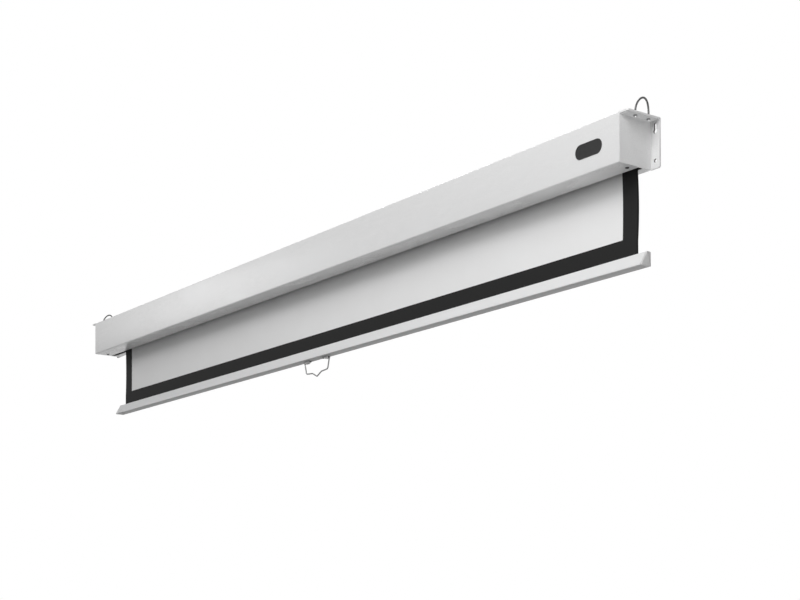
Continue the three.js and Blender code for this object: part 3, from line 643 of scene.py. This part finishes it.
def screw(name, node, body, head_up):
    """A pan-head screw in the place of its node, with its head up or down. The dome drops with
    one less the root of one less the fourth power of the share of the radius; the recess falls
    evenly from the middle, along both arms of the cross."""
    low, high = box_of(node)
    middle, head_radius = (low + high) / 2, (high[0] - low[0]) / 2
    length, head_height = high[2] - low[2], HEAD_RISE_SHARE * head_radius + HEAD_BASE
    reach = head_radius * HEAD_SHARES
    angle = np.linspace(0, 2 * np.pi, SCREW_AROUND, endpoint=False)
    x, y = reach[:, None] * np.stack([np.cos(angle), np.sin(angle)])[:, None, :]
    drop = 1 - np.sqrt(1 - DOME_FLATNESS * (reach / head_radius) ** 4)
    dome = head_height - DOME_DROP_SHARE * head_height * drop
    from_arm = ARM_HALF_SHARE * head_radius - np.minimum(abs(x), abs(y))
    arm = 0.5 * (1 + np.tanh(from_arm / ARM_SOFTNESS))
    recess = arm * RECESS_DEPTH * np.clip(1 - reach / (RECESS_REACH_SHARE * head_radius), 0, 1)[:, None]
    head = np.stack([x, y, dome[:, None] - recess], axis=-1)
    shank = head_radius / 2
    rings = [(head_radius, 0), (shank, 0), (shank, head_height + shank - length),
             (POINT_RADIUS, head_height - length)]
    below = [np.stack([r * np.cos(angle), r * np.sin(angle), np.full(SCREW_AROUND, z)], axis=-1)
             for r, z in rings]
    points = np.concatenate([head, np.stack(below)])
    if not head_up:
        points = points * (1, -1, -1)
    shift = (high if head_up else low)[2] - (head_height if head_up else -head_height)
    points = points + (middle[0], middle[1], shift)
    painted_solid(name, points, body, node, black_screws, crease=40)


for side in ("left", "right"):
    screw(f"screw_lower_{side}", f"case_screw_lower_{side}", "case", head_up=False)
    screw(f"screw_upper_{side}", f"case_screw_upper_{side}", "case", head_up=True)
    screw(f"screw_clip_{side}", f"handle_screw_{side}", "bar", head_up=False)

# %% [markdown]
# ## The name plate
# A black pill sits on the front near one end. It carries no name here, so its finish has to do:
# a raised rim, a shallow field inside it and a soft gloss with a few fine scratches.

# %% Name plate
plate_gloss = Finish("name_plate", specular_ior_level=0.2, coat_roughness=0.2)
on_plate = plate_gloss.coordinates()
haze = plate_gloss.noise(on_plate, 9, detail=4.0)
scratch = plate_gloss.noise(plate_gloss.coordinates(scale=(0.08, 1, 1)), 0.35, detail=2.0)
plate_gloss.set("base_color", plate_gloss.mix(haze, grey(0.010), grey(0.018)))
plate_gloss.set("roughness", haze * 0.2 + scratch * 0.12 + 0.2)
plate_gloss.set("coat_weight", haze * 0.2 + 0.05)
plate_gloss.bump(scratch, 0.01, 0.3)


# (in from the outline, back from the front) for the field and the inner edge of the rim
FIELD_RINGS = ((1.9, 0.28), (1.45, 0.25), (1.2, 0.03), (1.0, 0))
PLATE_RIM, PLATE_STEPS = 0.6, 32


def name_plate():
    """A pill of two half circles, carried from the field over the raised rim to the case."""
    low, high = box_of("name_plate")
    radius, middle_z = (high[2] - low[2]) / 2, (high[2] + low[2]) / 2
    outline = np.concatenate([arc((high[0] - radius, middle_z), radius, -90, 90, PLATE_STEPS),
                              arc((low[0] + radius, middle_z), radius, 90, 270, PLATE_STEPS)])
    front, back = low[1], high[1]
    rings = [(inset, front + depth) for inset, depth in FIELD_RINGS]
    rings += rounded_rim(front, 1, PLATE_RIM) + [(0, back)]
    painted_solid("name_plate_blank", rings_along(outline, rings, "y"),
                  "case", "name_plate", plate_gloss, crease=50)


name_plate()

# %% [markdown]
# ## The screen cloth
# The cloth is one coated sheet, white in front and black behind, with a black border printed on
# it and a darker welded edge at each side. Its pattern reads a UV map in metres of the flat cloth,
# not the space round it, so that it stays on the cloth when the screen is pulled down. The weave
# shows as two crossing sine waves in the bump.

# %% Cloth finishes
EDGE_STRIP = 4.7
THREAD_WIDTH = 0.9
image_low, image_high = box_of("image_cloth")
cloth_low, cloth_high = box_of("border_cloth")


def weave(finish, flat, threads_mm, depth_mm):
    """The sine of the way across times the sine of the way down, one wave per thread, and a slow
    noise that makes some threads thicker. Returns that noise."""
    turns = 2 * math.pi / (threads_mm * MILLIMETRE)
    warp = (finish.part_of(flat, "X") * turns).sine()
    weft = (finish.part_of(flat, "Y") * turns).sine()
    slub = finish.node("ShaderNodeTexNoise", {}, {"Vector": flat, "Scale": 260.0, "Detail": 3.0})
    finish.bump(warp * weft * 0.5 + slub * 1.5, depth_mm, 0.45)
    return slub


cloth_front = Finish("cloth_white", specular_ior_level=0.12)
flat = cloth_front.coordinates("UV")
slub = weave(cloth_front, flat, THREAD_WIDTH, 0.05)
across, down = cloth_front.part_of(flat, "X"), cloth_front.part_of(flat, "Y")
inside = ((across > image_low[0] * MILLIMETRE) * (across < image_high[0] * MILLIMETRE)
          * (down > image_low[2] * MILLIMETRE))
strip = 1 - ((across > (cloth_low[0] + EDGE_STRIP) * MILLIMETRE)
             * (across < (cloth_high[0] - EDGE_STRIP) * MILLIMETRE))
mottle = cloth_front.node("ShaderNodeTexNoise", {}, {"Vector": flat, "Scale": 9.0, "Detail": 4.0})
white = cloth_front.mix(mottle, grey(0.90, -0.002), grey(0.86, 0.003))
black = cloth_front.mix(slub, grey(0.012), grey(0.020))
border = cloth_front.mix(strip, black, grey(0.004))
cloth_front.set("base_color", cloth_front.mix(inside, border, white))
cloth_front.set("roughness", 0.9 - (1 - inside) * 0.22 + slub * 0.08)

cloth_back = Finish("cloth_black", specular_ior_level=0.3)
flat_back = cloth_back.coordinates("UV")
slub_back = weave(cloth_back, flat_back, THREAD_WIDTH, 0.06)
cloth_back.set("base_color", cloth_back.mix(slub_back, grey(0.012), grey(0.032)))
cloth_back.set("roughness", slub_back * 0.2 + 0.6)
print("cloth finishes:", len(cloth_front.tree.nodes), "and", len(cloth_back.tree.nodes), "nodes")

# %% [markdown]
# ## The hanging cloth
# The drop below the roller is one sheet. It hangs nearly flat, held by the bar, with slow waves
# that fade out at the case's slot and in the bar's, and its side edges want to curl a little. The
# sheet is a grid over width and height, pushed out of its plane by that sum of waves, to the wall
# side only: pushed to the front it would meet the roll when the bar is right up.

# %% Screen cloth
FREE_FROM_SHARE, FREE_TO_SHARE = 0.24, 0.86
EDGE_ZONE, PUSHED_BACK = 60, 1.02
CLOTH_COLUMNS, EDGE_COLUMNS, CLOTH_ROWS = 231, 25, 61


def mapped(made, across_mm, down_mm):
    """A UV map that holds each point's place on the flat cloth, in metres."""
    mesh = made.data
    loops = np.empty(len(mesh.loops), int)
    mesh.loops.foreach_get("vertex_index", loops)
    flat_places = np.stack([across_mm.ravel(), down_mm.ravel()], axis=-1)[loops] * MILLIMETRE
    mesh.uv_layers.new(name="flat_cloth").data.foreach_set("uv", flat_places.astype(np.float32).ravel())


def two_faced(made, thickness):
    """White in front and black behind, on a sheet of this thickness."""
    made.data.materials.append(cloth_front.material)
    made.data.materials.append(cloth_back.material)
    skin = made.modifiers.new("thickness", "SOLIDIFY")
    skin.thickness, skin.offset = thickness * MILLIMETRE, 0
    skin.material_offset = skin.material_offset_rim = 1


def screen_cloth():
    """The cloth's plane, pushed back by a half wave down the drop times the sum of slow sines and
    a curl that fades exponentially from each side edge."""
    left, right, low, high = cloth_low[0], cloth_high[0], cloth_low[2], cloth_high[2]
    columns = np.unique(np.concatenate([
        np.linspace(left, right, CLOTH_COLUMNS),
        np.linspace(left, left + EDGE_ZONE, EDGE_COLUMNS),
        np.linspace(right - EDGE_ZONE, right, EDGE_COLUMNS)]))
    rows = np.linspace(high, low, CLOTH_ROWS)
    x, z = np.meshgrid(columns, rows)
    share = (high - z) / (high - low)
    free_share = np.clip((share - FREE_FROM_SHARE) / (FREE_TO_SHARE - FREE_FROM_SHARE), 0, 1)
    free = np.sin(np.pi * free_share) ** 0.8
    waves = (0.45 * np.sin(x / 151 + 0.4) + 0.3 * np.sin(x / 67 + 1.9)
             + 0.16 * np.sin(x / 29 + z / 60))
    from_edge = np.minimum(x - left, right - x)
    curl = 0.9 * np.exp(-from_edge / 14) - 0.1 * np.exp(-((from_edge - 34) / 13) ** 2)
    y = CLOTH_Y + free * (PUSHED_BACK + waves + curl)
    made = make_piece("screen_cloth", np.stack([x, y, z], axis=-1), None,
                      ["image_cloth", "border_cloth"], crease=180)
    mapped(made, x, z)
    return made


cloth = screen_cloth()
two_faced(cloth, CLOTH_THICKNESS)
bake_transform(cloth)

# %% [markdown]
# ## The wound cloth
# The rest of the cloth, all that can still be pulled out, is on the roller in a spiral. A spiral's
# radius grows evenly with its angle. Its number of turns is the length that is left over the mean
# way round, and made as a thin sheet its ends show the separate turns, as a real roll does. The
# hanging cloth is the outermost turn, so the roll that turns ends one thickness inside it.

# %% Wound cloth
roll_low, roll_high = box_of("cloth_roll")
tube_low, tube_high = box_of("roller_tube")
ROLLER_Y = (tube_low[1] + tube_high[1]) / 2
TUBE_RADIUS = (tube_high[1] - tube_low[1]) / 2
still_wound = next(joint["range_m"][1] for joint in frame["record"]["behaviour"]["joints"]
                   if joint["name"] == "bar_slide") / MILLIMETRE
WOUND_THICKNESS, GAP_UNDER_DROP, GAP_ON_TUBE = 0.2, 0.2, 0.15
STEPS_PER_TURN = 64
# where the edge strip and the border end, and three places between, from the left edge
WOUND_STATIONS = np.array([0, EDGE_STRIP, 43.5, 600, 1145.5, 1691, 2247.5, 2286.3, 2291])
WHITE_FROM = 400  # up the flat cloth, well inside its white part


def wound_cloth():
    """A spiral whose radius falls evenly with its angle, from outer to inner. Its turns are the
    length over pi times the sum of both."""
    outer = (roll_high[2] - roll_low[2]) / 2 - CLOTH_THICKNESS - GAP_UNDER_DROP
    inner = TUBE_RADIUS + GAP_ON_TUBE
    turns = still_wound / (np.pi * (outer + inner))
    angle = np.linspace(0, 2 * np.pi * turns, int(STEPS_PER_TURN * turns))
    radius = outer - (outer - inner) * angle / angle[-1]
    x, a = np.meshgrid(WOUND_STATIONS + roll_low[0], angle)
    r = radius[:, None] + 0 * x
    points = np.stack([x, ROLLER_Y + r * np.cos(a), r * np.sin(a)], axis=-1)
    made = make_piece("wound_cloth", points, "roller", ["cloth_roll"], crease=180)
    mapped(made, x, a * r + WHITE_FROM)
    print("cloth on the roller:", round(float(turns), 1), "turns, one every",
          round(float((outer - inner) / turns), 2), "mm")
    return made


two_faced(wound_cloth(), WOUND_THICKNESS)

# %% [markdown]
# ## The bottom bar
# The bar is extruded aluminium with a clear satin coat: a slanted front, a rounded back and a slot
# along its ridge that the cloth comes out of. Extruding leaves very fine lines along it, so its
# noise is stretched hard along x. Its flat underside is painted darker than the front: painted shade.

# %% Bar finish
bar_aluminium = Finish("bar_aluminium", metallic=0.0, specular_ior_level=0.15)
lines = bar_aluminium.noise(bar_aluminium.coordinates(scale=(0.004, 1, 1)), 0.6, detail=3.0)
bands = bar_aluminium.noise(bar_aluminium.coordinates(scale=(0.05, 1, 1)), 12, detail=2.0)
polished = bar_aluminium.mix(lines * 0.6 + bands * 0.4, grey(0.84, -0.004), grey(0.72, -0.004))
bar_low, bar_high = box_of("bottom_bar")
height = bar_aluminium.part_of(bar_aluminium.coordinates(), "Z")
# the flat underside gets a darker colour: painted shade
shaded_underside = height < (bar_low[2] + 0.5) * MILLIMETRE
bar_aluminium.set("base_color", bar_aluminium.mix(shaded_underside, polished, grey(0.48)))
bar_aluminium.set("roughness", lines * 0.14 + bands * 0.08 + 0.38)
bar_aluminium.bump(lines, 0.02, 0.35)
print("bar finish:", len(bar_aluminium.tree.nodes), "nodes")

# %% Bar
BAR_WALL, BAR_EASE, BAR_BEND, CROWN, NOSE_EASE = 1.5, 1.0, 2.0, 3.5, 0.25
BAR_DEPTH, SLOT_HALF = 28.3, 1.2
RIDGE, BAR_BACK, BAR_BOTTOM = bar_high[2], bar_high[1], bar_low[2]
NOSE_Y, SLOT_END = CLOTH_Y - SLOT_HALF, CLOTH_Y + SLOT_HALF
BAR_FRONT = BAR_BACK - BAR_DEPTH  # where the slanted front would meet the base
SLANT = math.atan2(RIDGE - BAR_BOTTOM, NOSE_Y - BAR_FRONT)
FACING = 90 + math.degrees(SLANT)
FRONT_BEND = (BAR_FRONT + BAR_BEND / math.tan(SLANT / 2), BAR_BOTTOM + BAR_BEND)


def slanted_front(inwards):
    """A point high on the slanted front, moved in by a distance, and the way down along it."""
    down = -np.array([math.cos(SLANT), math.sin(SLANT)])
    across = np.array([-down[1], down[0]])
    return np.array([NOSE_Y, RIDGE]) + inwards * across, down


def bar_outline():
    """Outside from the slot's rear edge round the back, the bottom and the slanted front to the
    slot's front edge, then the inside of the walls back again."""
    crown = (BAR_BACK - CROWN, RIDGE - CROWN)
    under_ridge = NOSE_EASE * (1 + math.sin(SLANT)) / math.cos(SLANT)
    outer = np.concatenate([
        [(SLOT_END, RIDGE)],
        arc(crown, CROWN, 90, 0, 10),
        arc((BAR_BACK - BAR_EASE, BAR_BOTTOM + BAR_EASE), BAR_EASE, 0, -90, 5),
        arc(FRONT_BEND, BAR_BEND, -90, FACING - 360, 8),
        arc((NOSE_Y - NOSE_EASE, RIDGE - under_ridge), NOSE_EASE, FACING, 0, 5),
    ])
    start, down = slanted_front(BAR_WALL)
    at_slot = start + down * (NOSE_Y - start[0]) / down[0]
    at_floor = start + down * (BAR_BOTTOM + BAR_WALL - start[1]) / down[1]
    inner = np.concatenate([
        [at_slot, at_floor, (BAR_BACK - BAR_WALL, BAR_BOTTOM + BAR_WALL)],
        arc(crown, CROWN - BAR_WALL, 0, 90, 10),
        [(SLOT_END, RIDGE - BAR_WALL)],
    ])
    return np.concatenate([outer, inner])


painted_solid("bar", run_along_x(bar_outline(), bar_low[0], bar_high[0]),
              "bar", "bottom_bar", bar_aluminium, crease=30)

# %% [markdown]
# ## The bar's end caps
# A moulded cap closes each end of the bar. It has the bar's outline without the slot, a rounded
# outer rim, and a hairline seam where it meets the bar. The rings of its outline give all three:
# quarter-round at the outside, then straight, then a small step in before the bar. A plug goes on
# into the bar.

# %% End caps
bar_plastic = Finish("bar_plastic", specular_ior_level=0.4)
on_cap = bar_plastic.coordinates()
grain = bar_plastic.noise(on_cap, 0.5, detail=2.0)
swirl = bar_plastic.noise(on_cap, 14, detail=2.0)
bar_plastic.set("base_color", bar_plastic.mix(swirl, grey(0.66, 0.004), grey(0.60)))
bar_plastic.set("roughness", grain * 0.15 + 0.42)
bar_plastic.bump(grain, 0.03, 0.3)


def closed_bar_outline():
    """The bar's outline with its slot bridged by one bend, counter-clockwise."""
    nose = (NOSE_Y + CAP_NOSE * math.tan(SLANT / 2), RIDGE - CAP_NOSE)
    return np.concatenate([
        arc(FRONT_BEND, BAR_BEND, FACING, 270, 8),
        arc((BAR_BACK - BAR_EASE, BAR_BOTTOM + BAR_EASE), BAR_EASE, -90, 0, 5),
        arc((BAR_BACK - CROWN, RIDGE - CROWN), CROWN, 0, 90, 10),
        arc(nose, CAP_NOSE, 90, FACING, 4),
    ])


CAP_NOSE = 0.75
CAP_RIM, SEAM_FROM, SEAM_DEEP, SEAM_GAP, PLUG_LENGTH, PLUG_GAP = 1.4, 0.5, 0.35, 0.05, 9, 0.3


def bar_cap(side):
    """The outline's rings: a quarter round, the side, the seam, and the plug inside the bar."""
    low, high = box_of(f"bar_cap_{side}")
    outside, inwards = (low[0], 1) if side == "left" else (high[0], -1)
    seat = bar_low[0] if side == "left" else bar_high[0]
    rings = rounded_rim(outside, inwards, CAP_RIM)
    rings += [(0, seat - inwards * SEAM_FROM), (0.3, seat - inwards * 0.3),
              (SEAM_DEEP, seat - inwards * SEAM_GAP), (BAR_WALL + PLUG_GAP, seat - inwards * SEAM_GAP),
              (BAR_WALL + PLUG_GAP, seat + inwards * PLUG_LENGTH)]
    painted_solid(f"cap_{side}", rings_along(closed_bar_outline(), rings, "x"),
                  "bar", f"bar_cap_{side}", bar_plastic, crease=40)


for side in ("left", "right"):
    bar_cap(side)

# %% [markdown]
# ## The pull handle
# The handle is one wire: two short legs that turn in the clips, two long sides and a point in the
# middle for a finger or a hook. Its corners are bends, each a curve that leaves one straight and
# meets the next without a kink. A quadratic curve from one straight to the other does that.

# %% Pull handle
HANDLE_X, HANDLE_WIRE = 24.0, 3.4
HANDLE_CORNERS = np.array([(44.4, 0), (58.4, 0), (50.4, -29.8), (21, -32), (0, -42.3),
                           (-21, -32), (-50.4, -29.8), (-58.4, 0), (-44.4, 0)])
HANDLE_BENDS = [3, 8, 5, 4, 5, 8, 3]
HANDLE_STEP, HANDLE_SIDES, BEND_POINTS = 0.8, 20, 13
clip_low, clip_high = box_of("handle_clip_right")
BAR_MIDDLE_Y = (clip_low[1] + clip_high[1]) / 2
HANDLE_AXIS_Z = (clip_low[2] + clip_high[2]) / 2


def bent_line(corners, bends):
    """Straights joined by quadratic curves (1-t)^2 a + 2t(1-t) b + t^2 c at each corner b."""
    line = [corners[:1]]
    t = np.linspace(0, 1, BEND_POINTS)[:, None]
    for before, corner, after, bend in zip(corners, corners[1:], corners[2:], bends):
        back, onwards = before - corner, after - corner
        back, onwards = back / np.linalg.norm(back), onwards / np.linalg.norm(onwards)
        reach = bend / math.tan(math.acos(float(back @ onwards)) / 2)
        enter, leave = corner + reach * back, corner + reach * onwards
        line.append((1 - t) ** 2 * enter + 2 * t * (1 - t) * corner + t**2 * leave)
    return np.concatenate(line + [corners[-1:]])


flat_handle = evenly(bent_line(HANDLE_CORNERS, HANDLE_BENDS), HANDLE_STEP)
handle_line = np.column_stack([HANDLE_X + flat_handle[:, 0], np.full(len(flat_handle), BAR_MIDDLE_Y),
                               HANDLE_AXIS_Z + flat_handle[:, 1]])
painted_solid(
    "handle",
    tube(handle_line, (0, 1, 0), eased_tips(handle_line, HANDLE_WIRE / 2), HANDLE_SIDES),
    "handle", "pull_handle", handle_wire, crease=60,
)

for side in ("left", "right"):
    eased_copy(f"clip_{side}", f"handle_clip_{side}", "bar", 0.6, segments=3)
    paint(bar_plastic, f"clip_{side}")

# %% [markdown]
# ## The torsion spring
# Inside the roller a long coil spring stores the pull. Its line is a helix, and the direction away
# from the axis serves as the tube's second direction all the way along.

# %% Torsion spring
spring_steel = metal("spring_steel", 0.10, 0.04, 0.36, 3.0, warmth=0.04)
SPRING_WIRE_RADIUS, SPRING_TURNS, SPRING_STEPS_PER_TURN, SPRING_SIDES = 1.5, 24, 28, 10


def torsion_spring():
    """A helix: even steps along the axis, with radius times the cosine and the sine across it."""
    low, high = box_of("torsion_spring")
    wire = SPRING_WIRE_RADIUS
    radius = (high[2] - low[2]) / 2 - wire
    share = np.linspace(0, 1, SPRING_TURNS * SPRING_STEPS_PER_TURN + 1)
    angle = 2 * np.pi * SPRING_TURNS * share
    outwards = np.stack([0 * angle, np.cos(angle), np.sin(angle)], axis=-1)
    line = radius * outwards + np.array([0, ROLLER_Y, 0])
    line[:, 0] = low[0] + wire + share * (high[0] - low[0] - 2 * wire)
    painted_solid("spring_coil", tube(line, outwards, wire, SPRING_SIDES),
                  "case", "torsion_spring", spring_steel, crease=60)


torsion_spring()

# %% [markdown]
# ## Pieces that keep their CAD shape
# The saddles, the shaft, the ratchet and its pawls, the bush, the caps and the tube sit inside the
# case. Their shapes are right as they are, so they only get a finish: turned or stamped steel,
# galvanised tube, and grey moulded plastic.

# %% Inner finishes
mechanism_steel = metal("mechanism_steel", 0.42, 0.08, 0.30, 4.0, scale=(0.3, 1, 1))
paint(mechanism_steel, "spring_saddle", "idler_saddle", "spring_shaft", "ratchet_disc", "idler_pin",
      "pawl_a", "pawl_b", "pawl_pin_a", "pawl_pin_b")
roller_steel = metal("roller_steel", 0.50, 0.14, 0.28, 18.0, scale=(0.5, 1, 1), depth_mm=0.02)
paint(roller_steel, "roller_tube")

inner_plastic = Finish("inner_plastic", specular_ior_level=0.4)
flow = inner_plastic.noise(inner_plastic.coordinates(), 8, detail=3.0)
fine = inner_plastic.noise(inner_plastic.coordinates(), 0.6, detail=1.0)
inner_plastic.set("base_color", inner_plastic.mix(flow, grey(0.030), grey(0.045)))
inner_plastic.set("roughness", fine * 0.2 + 0.45)
inner_plastic.bump(fine, 0.03, 0.3)
paint(inner_plastic, "spring_cap", "idler_cap", "spring_plug", "idler_bush", "hem_rod")
print("inner finishes:", [finish.material.name for finish in
                          (mechanism_steel, roller_steel, inner_plastic)])

# %% [markdown]

# %% [markdown]
# ## Light
# The photograph's front gets lighter towards the near end, the end plate is dimmer than the front,
# and the case throws a soft shadow on the cloth. The powers are close to the sum of single lamps
# that comes nearest to the photograph: a broad main lamp, one at the near end and weak ones behind,
# below and at the far end. The rear lamp lights what the photograph doesn't show. The background is
# white only to the camera and to mirrors, so it lights nothing, and the floor is lightened in the
# same way, but keeps its shadows.


# %% Lamps, background and floor
def lamp(name, place, target, power, size):
    """A square lamp that faces a point, in metres and watts."""
    light = bpy.data.lights.new(name, "AREA")
    light.shape, light.size, light.energy = "SQUARE", size, power
    made = bpy.data.objects.new(name, light)
    bpy.context.collection.objects.link(made)
    made.visible_camera = False
    away = Matrix.Translation(place).translation - Matrix.Translation(target).translation
    made.matrix_world = Matrix.Translation(place) @ away.to_track_quat("Z", "Y").to_matrix().to_4x4()


def show_white(tree, lit, output, white_kind, rays):
    """Each named kind of ray meets its share of plain white; all else meets the lit shader."""
    path, links, seen = tree.nodes.new("ShaderNodeLightPath"), tree.links, None
    for ray, share in rays.items():
        either = tree.nodes.new("ShaderNodeMath")
        either.operation, either.use_clamp = "MULTIPLY_ADD", True
        either.inputs[1].default_value, either.inputs[2].default_value = share, 0
        links.new(path.outputs[ray], either.inputs[0])
        if seen:
            links.new(seen.outputs[0], either.inputs[2])
        seen = either
    white, which = tree.nodes.new(white_kind), tree.nodes.new("ShaderNodeMixShader")
    white.inputs["Color"].default_value, white.inputs["Strength"].default_value = (1, 1, 1, 1), 1
    links.new(seen.outputs[0], which.inputs["Fac"])
    links.new(lit.outputs[0], which.inputs[1])
    links.new(white.outputs[0], which.inputs[2])
    links.new(which.outputs[0], output.inputs["Surface"])


lamp("near_end_lamp", (2.2, -2.6, 1.2), (0.9, 0, -0.1), 54, 1.8)
lamp("main_lamp", (1.5, -3.5, 3.2), (0.3, 0, -0.1), 124, 3.0)
lamp("back_lamp", (4.0, 2.5, 0.8), (1.2, 0, 0), 8, 1.5)
lamp("far_end_lamp", (-4.2, -2.2, 1.0), (-0.45, 0, 0), 9, 0.8)
lamp("rear_lamp", (-2.6, 3.0, 1.6), (-0.2, 0, -0.2), 140, 2.0)
lamp("low_lamp", (3.0, -0.05, -1.7), (0.9, -0.05, -0.1), 15, 0.7)

AMBIENT_STRENGTH, FLOOR_WHITE_SHARE = 0.01, 0.88
FLOOR_HALF, FLOOR_HEIGHT = 14.0, -2.2
world = bpy.data.worlds.new("even_light")
bpy.context.scene.world = world
world.use_nodes = True
world.node_tree.nodes.clear()
ambient = world.node_tree.nodes.new("ShaderNodeBackground")
ambient.inputs["Strength"].default_value = AMBIENT_STRENGTH
world_output = world.node_tree.nodes.new("ShaderNodeOutputWorld")
show_white(world.node_tree, ambient, world_output, "ShaderNodeBackground",
           {"Is Camera Ray": 1, "Is Glossy Ray": 1, "Is Transmission Ray": 1})

floor_paint = Finish("floor_paint", specular_ior_level=0.1, roughness=0.9)
dust = floor_paint.noise(floor_paint.coordinates(), 90, detail=3.0)
floor_paint.set("base_color", floor_paint.mix(dust, grey(0.50), grey(0.48)))
show_white(floor_paint.tree, floor_paint.shader, floor_paint.tree.nodes["Material Output"],
           "ShaderNodeEmission",
           {"Is Camera Ray": FLOOR_WHITE_SHARE, "Is Glossy Ray": 1, "Is Transmission Ray": 1})
floor_mesh = bpy.data.meshes.new("floor")
floor_mesh.from_pydata([(x * FLOOR_HALF, y * FLOOR_HALF, FLOOR_HEIGHT) for x, y in
                        ((-1, -1), (1, -1), (1, 1), (-1, 1))], [], [(0, 1, 2, 3)])
floor = bpy.data.objects.new("floor", floor_mesh)
bpy.context.collection.objects.link(floor)
floor_mesh.materials.append(floor_paint.material)
bpy.context.scene.view_settings.view_transform = "Standard"
print("lamps:", len(bpy.data.lights), "and a floor at", FLOOR_HEIGHT, "m")
